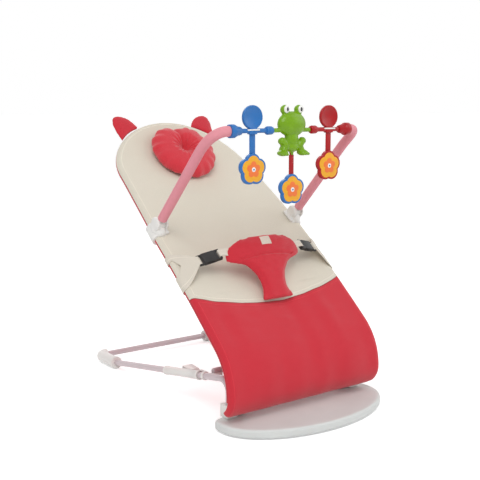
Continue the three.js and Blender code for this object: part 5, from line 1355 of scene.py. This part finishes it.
class BOUNCER_OT_frog(bpy.types.Operator):
    """Mould the sitting frog on its axle"""

    bl_idname = "bouncer.frog"
    bl_label = "Frog"

    def execute(self, context):
        _, y, z = BAR
        parts = [ball(name, (0, y, z + up), radii) for name, up, radii in FROG_TRUNK]
        parts.append(swept("axle", [(-49, y, z), (49, y, z)], 4.6))
        for sign in SIDES.values():
            for name, (out, back, up), radii, lean in FROG_LIMBS:
                parts.append(ball(name, (sign * out, y + back, z + up), radii, sign * math.radians(lean)))
            low, high = sorted((y + sign * 1.7, y + sign * 3.7))
            parts.append(block("lug", (-3.4, low, z - 50.4), (3.4, high, z - 30)))
        obj = joined("frog_toy", parts)
        modify(obj, "REMESH", mode="VOXEL", voxel_size=1.3 * MM)
        finished(softened(obj, 5), "Green plastic", "frog")
        for side, sign in SIDES.items():
            for name, (out, back, up), radii, material in FROG_EYES:
                eye = ball(f"{name}_{side}", (sign * out, y + back, z + up), radii)
                finished(eye, material, body="frog")
        return {"FINISHED"}


KEPT = {
    "foot_plate_pan": "Plate plastic",
    "floor_pad": "Rubber",
    "front_socket": "White plastic",
    "hinge_pin": "Steel",
    "adapter": "White plastic",
    "prop_sleeve": "White plastic",
    "buckle_socket": "Buckle black",
    "buckle_tongue": "Buckle black",
    "prong_upper": "Buckle black",
    "prong_lower": "Buckle black",
    "arch_clamp": "White plastic",
    "arch_tube": "White plastic",
}


class BOUNCER_OT_kept(bpy.types.Operator):
    """Finish the moulded parts whose CAD shape is right"""

    bl_idname = "bouncer.kept"
    bl_label = "Kept parts"

    def execute(self, context):
        for name, obj in frame["nodes"].items():
            if obj.hide_render:
                continue
            painted(obj, KEPT[name.removesuffix("_left").removesuffix("_right")])
            weld = obj.modifiers.new("Weld", "WELD")
            weld.merge_threshold = WELD
            bevel = obj.modifiers.new("Bevel", "BEVEL")
            bevel.width = 0.5 * MM
            bevel.segments = 2
            bevel.limit_method = "ANGLE"
            bevel.angle_limit = math.radians(42)
            bevel.harden_normals = True
            for face in obj.data.polygons:
                face.use_smooth = True
        return {"FINISHED"}


# Stage, in metres

FLOOR_EMISSION, WORLD_LIGHT = 0.44, 0.55  # the floor's own light, and the world's on what it lights
LAMPS = (("key", (-1.4, -1.6, 2.4), 1.6, 34), ("fill", (1.8, -1.2, 1.6), 2.0, 12), ("rim", (0.4, 2.0, 2.2), 1.6, 14))
LAMP_AIM = Vector((0, 0, 0.3))
CAMERA_PLACE = (-1.1252, -1.5655, 0.638)
CAMERA_TURN = (math.radians(81.144), 0, math.radians(-36.18))


def seen_by(tree, *rays):
    """1 for a ray of one of these kinds."""
    path = node(tree, "ShaderNodeLightPath").outputs
    seen = path[rays[0]]
    for ray in rays[1:]:
        seen = math_node(tree, "MAXIMUM", seen, path[ray])
    return seen


class BOUNCER_OT_stage(bpy.types.Operator):
    """Lay the pale floor, hang the lamps and place the camera"""

    bl_idname = "bouncer.stage"
    bl_label = "Stage"

    def execute(self, context):
        deselect()
        bpy.ops.mesh.primitive_plane_add(size=120, location=(0, 0, -0.0005))
        floor = settle(named("floor"))
        tree, shader = blank("Floor")
        feed(tree, shader, ("Base Color", (0.93, 0.93, 0.93, 1)), ("Roughness", 0.7))
        glow = math_node(tree, "MULTIPLY", seen_by(tree, "Is Camera Ray", "Is Glossy Ray"), FLOOR_EMISSION)
        feed(tree, shader, ("Emission Color", (1, 1, 1, 1)), ("Emission Strength", glow))
        painted(floor, "Floor")
        world = bpy.data.worlds.new("Studio")
        context.scene.world = world
        world.use_nodes = True
        tree = world.node_tree
        seen = seen_by(tree, "Is Camera Ray", "Is Glossy Ray", "Is Transmission Ray")
        strength = math_node(tree, "MULTIPLY_ADD", seen, 1 - WORLD_LIGHT, WORLD_LIGHT)
        feed(tree, tree.nodes["Background"], ("Strength", strength), ("Color", (1, 1, 1, 1)))
        for name, place, size, power in LAMPS:
            bpy.ops.object.light_add(type="AREA", location=place)
            lamp = named(name)
            lamp.data.size = size
            lamp.data.energy = power
            lamp.rotation_euler = (LAMP_AIM - Vector(place)).to_track_quat("-Z", "Y").to_euler()
        bpy.ops.object.camera_add(location=CAMERA_PLACE, rotation=CAMERA_TURN)
        camera = named("camera")
        camera.data.lens = 64.5
        camera.data.sensor_width = 36
        camera.data.clip_start = 0.05
        context.scene.camera = camera
        context.scene.view_settings.view_transform = "Standard"
        return {"FINISHED"}


STEPS = (
    BOUNCER_OT_materials,
    BOUNCER_OT_frame,
    BOUNCER_OT_plate,
    BOUNCER_OT_base,
    BOUNCER_OT_covers,
    BOUNCER_OT_ears,
    BOUNCER_OT_pillow,
    BOUNCER_OT_waist_pad,
    BOUNCER_OT_straps,
    BOUNCER_OT_arch,
    BOUNCER_OT_toy_bars,
    BOUNCER_OT_pendants,
    BOUNCER_OT_frog,
    BOUNCER_OT_kept,
    BOUNCER_OT_stage,
)
VALUES = {"bouncer_cloth": BouncerCloth, "bouncer_plastic": BouncerPlastic, "bouncer_shape": BouncerShape}


class BOUNCER_PT_panel(bpy.types.Panel):
    """The bouncer's values and the steps that build it"""

    bl_idname = "BOUNCER_PT_panel"
    bl_label = "Baby bouncer"
    bl_space_type = "VIEW_3D"
    bl_region_type = "UI"
    bl_category = "Bouncer"

    def draw(self, context):
        for step in STEPS:
            self.layout.operator(step.bl_idname)
        for group in VALUES:
            values = getattr(context.scene, group)
            for key in values.__annotations__:
                self.layout.prop(values, key)


def register():
    for made in (*VALUES.values(), *STEPS, BOUNCER_PT_panel):
        bpy.utils.register_class(made)
    for name, group in VALUES.items():
        setattr(bpy.types.Scene, name, bpy.props.PointerProperty(type=group))


def unregister():
    for name in VALUES:
        delattr(bpy.types.Scene, name)
    for made in (BOUNCER_PT_panel, *reversed(STEPS), *VALUES.values()):
        bpy.utils.unregister_class(made)


def main():
    register()
    for step in STEPS:
        area, name = step.bl_idname.split(".")
        getattr(getattr(bpy.ops, area), name)()


if __name__ == "__main__":
    main()
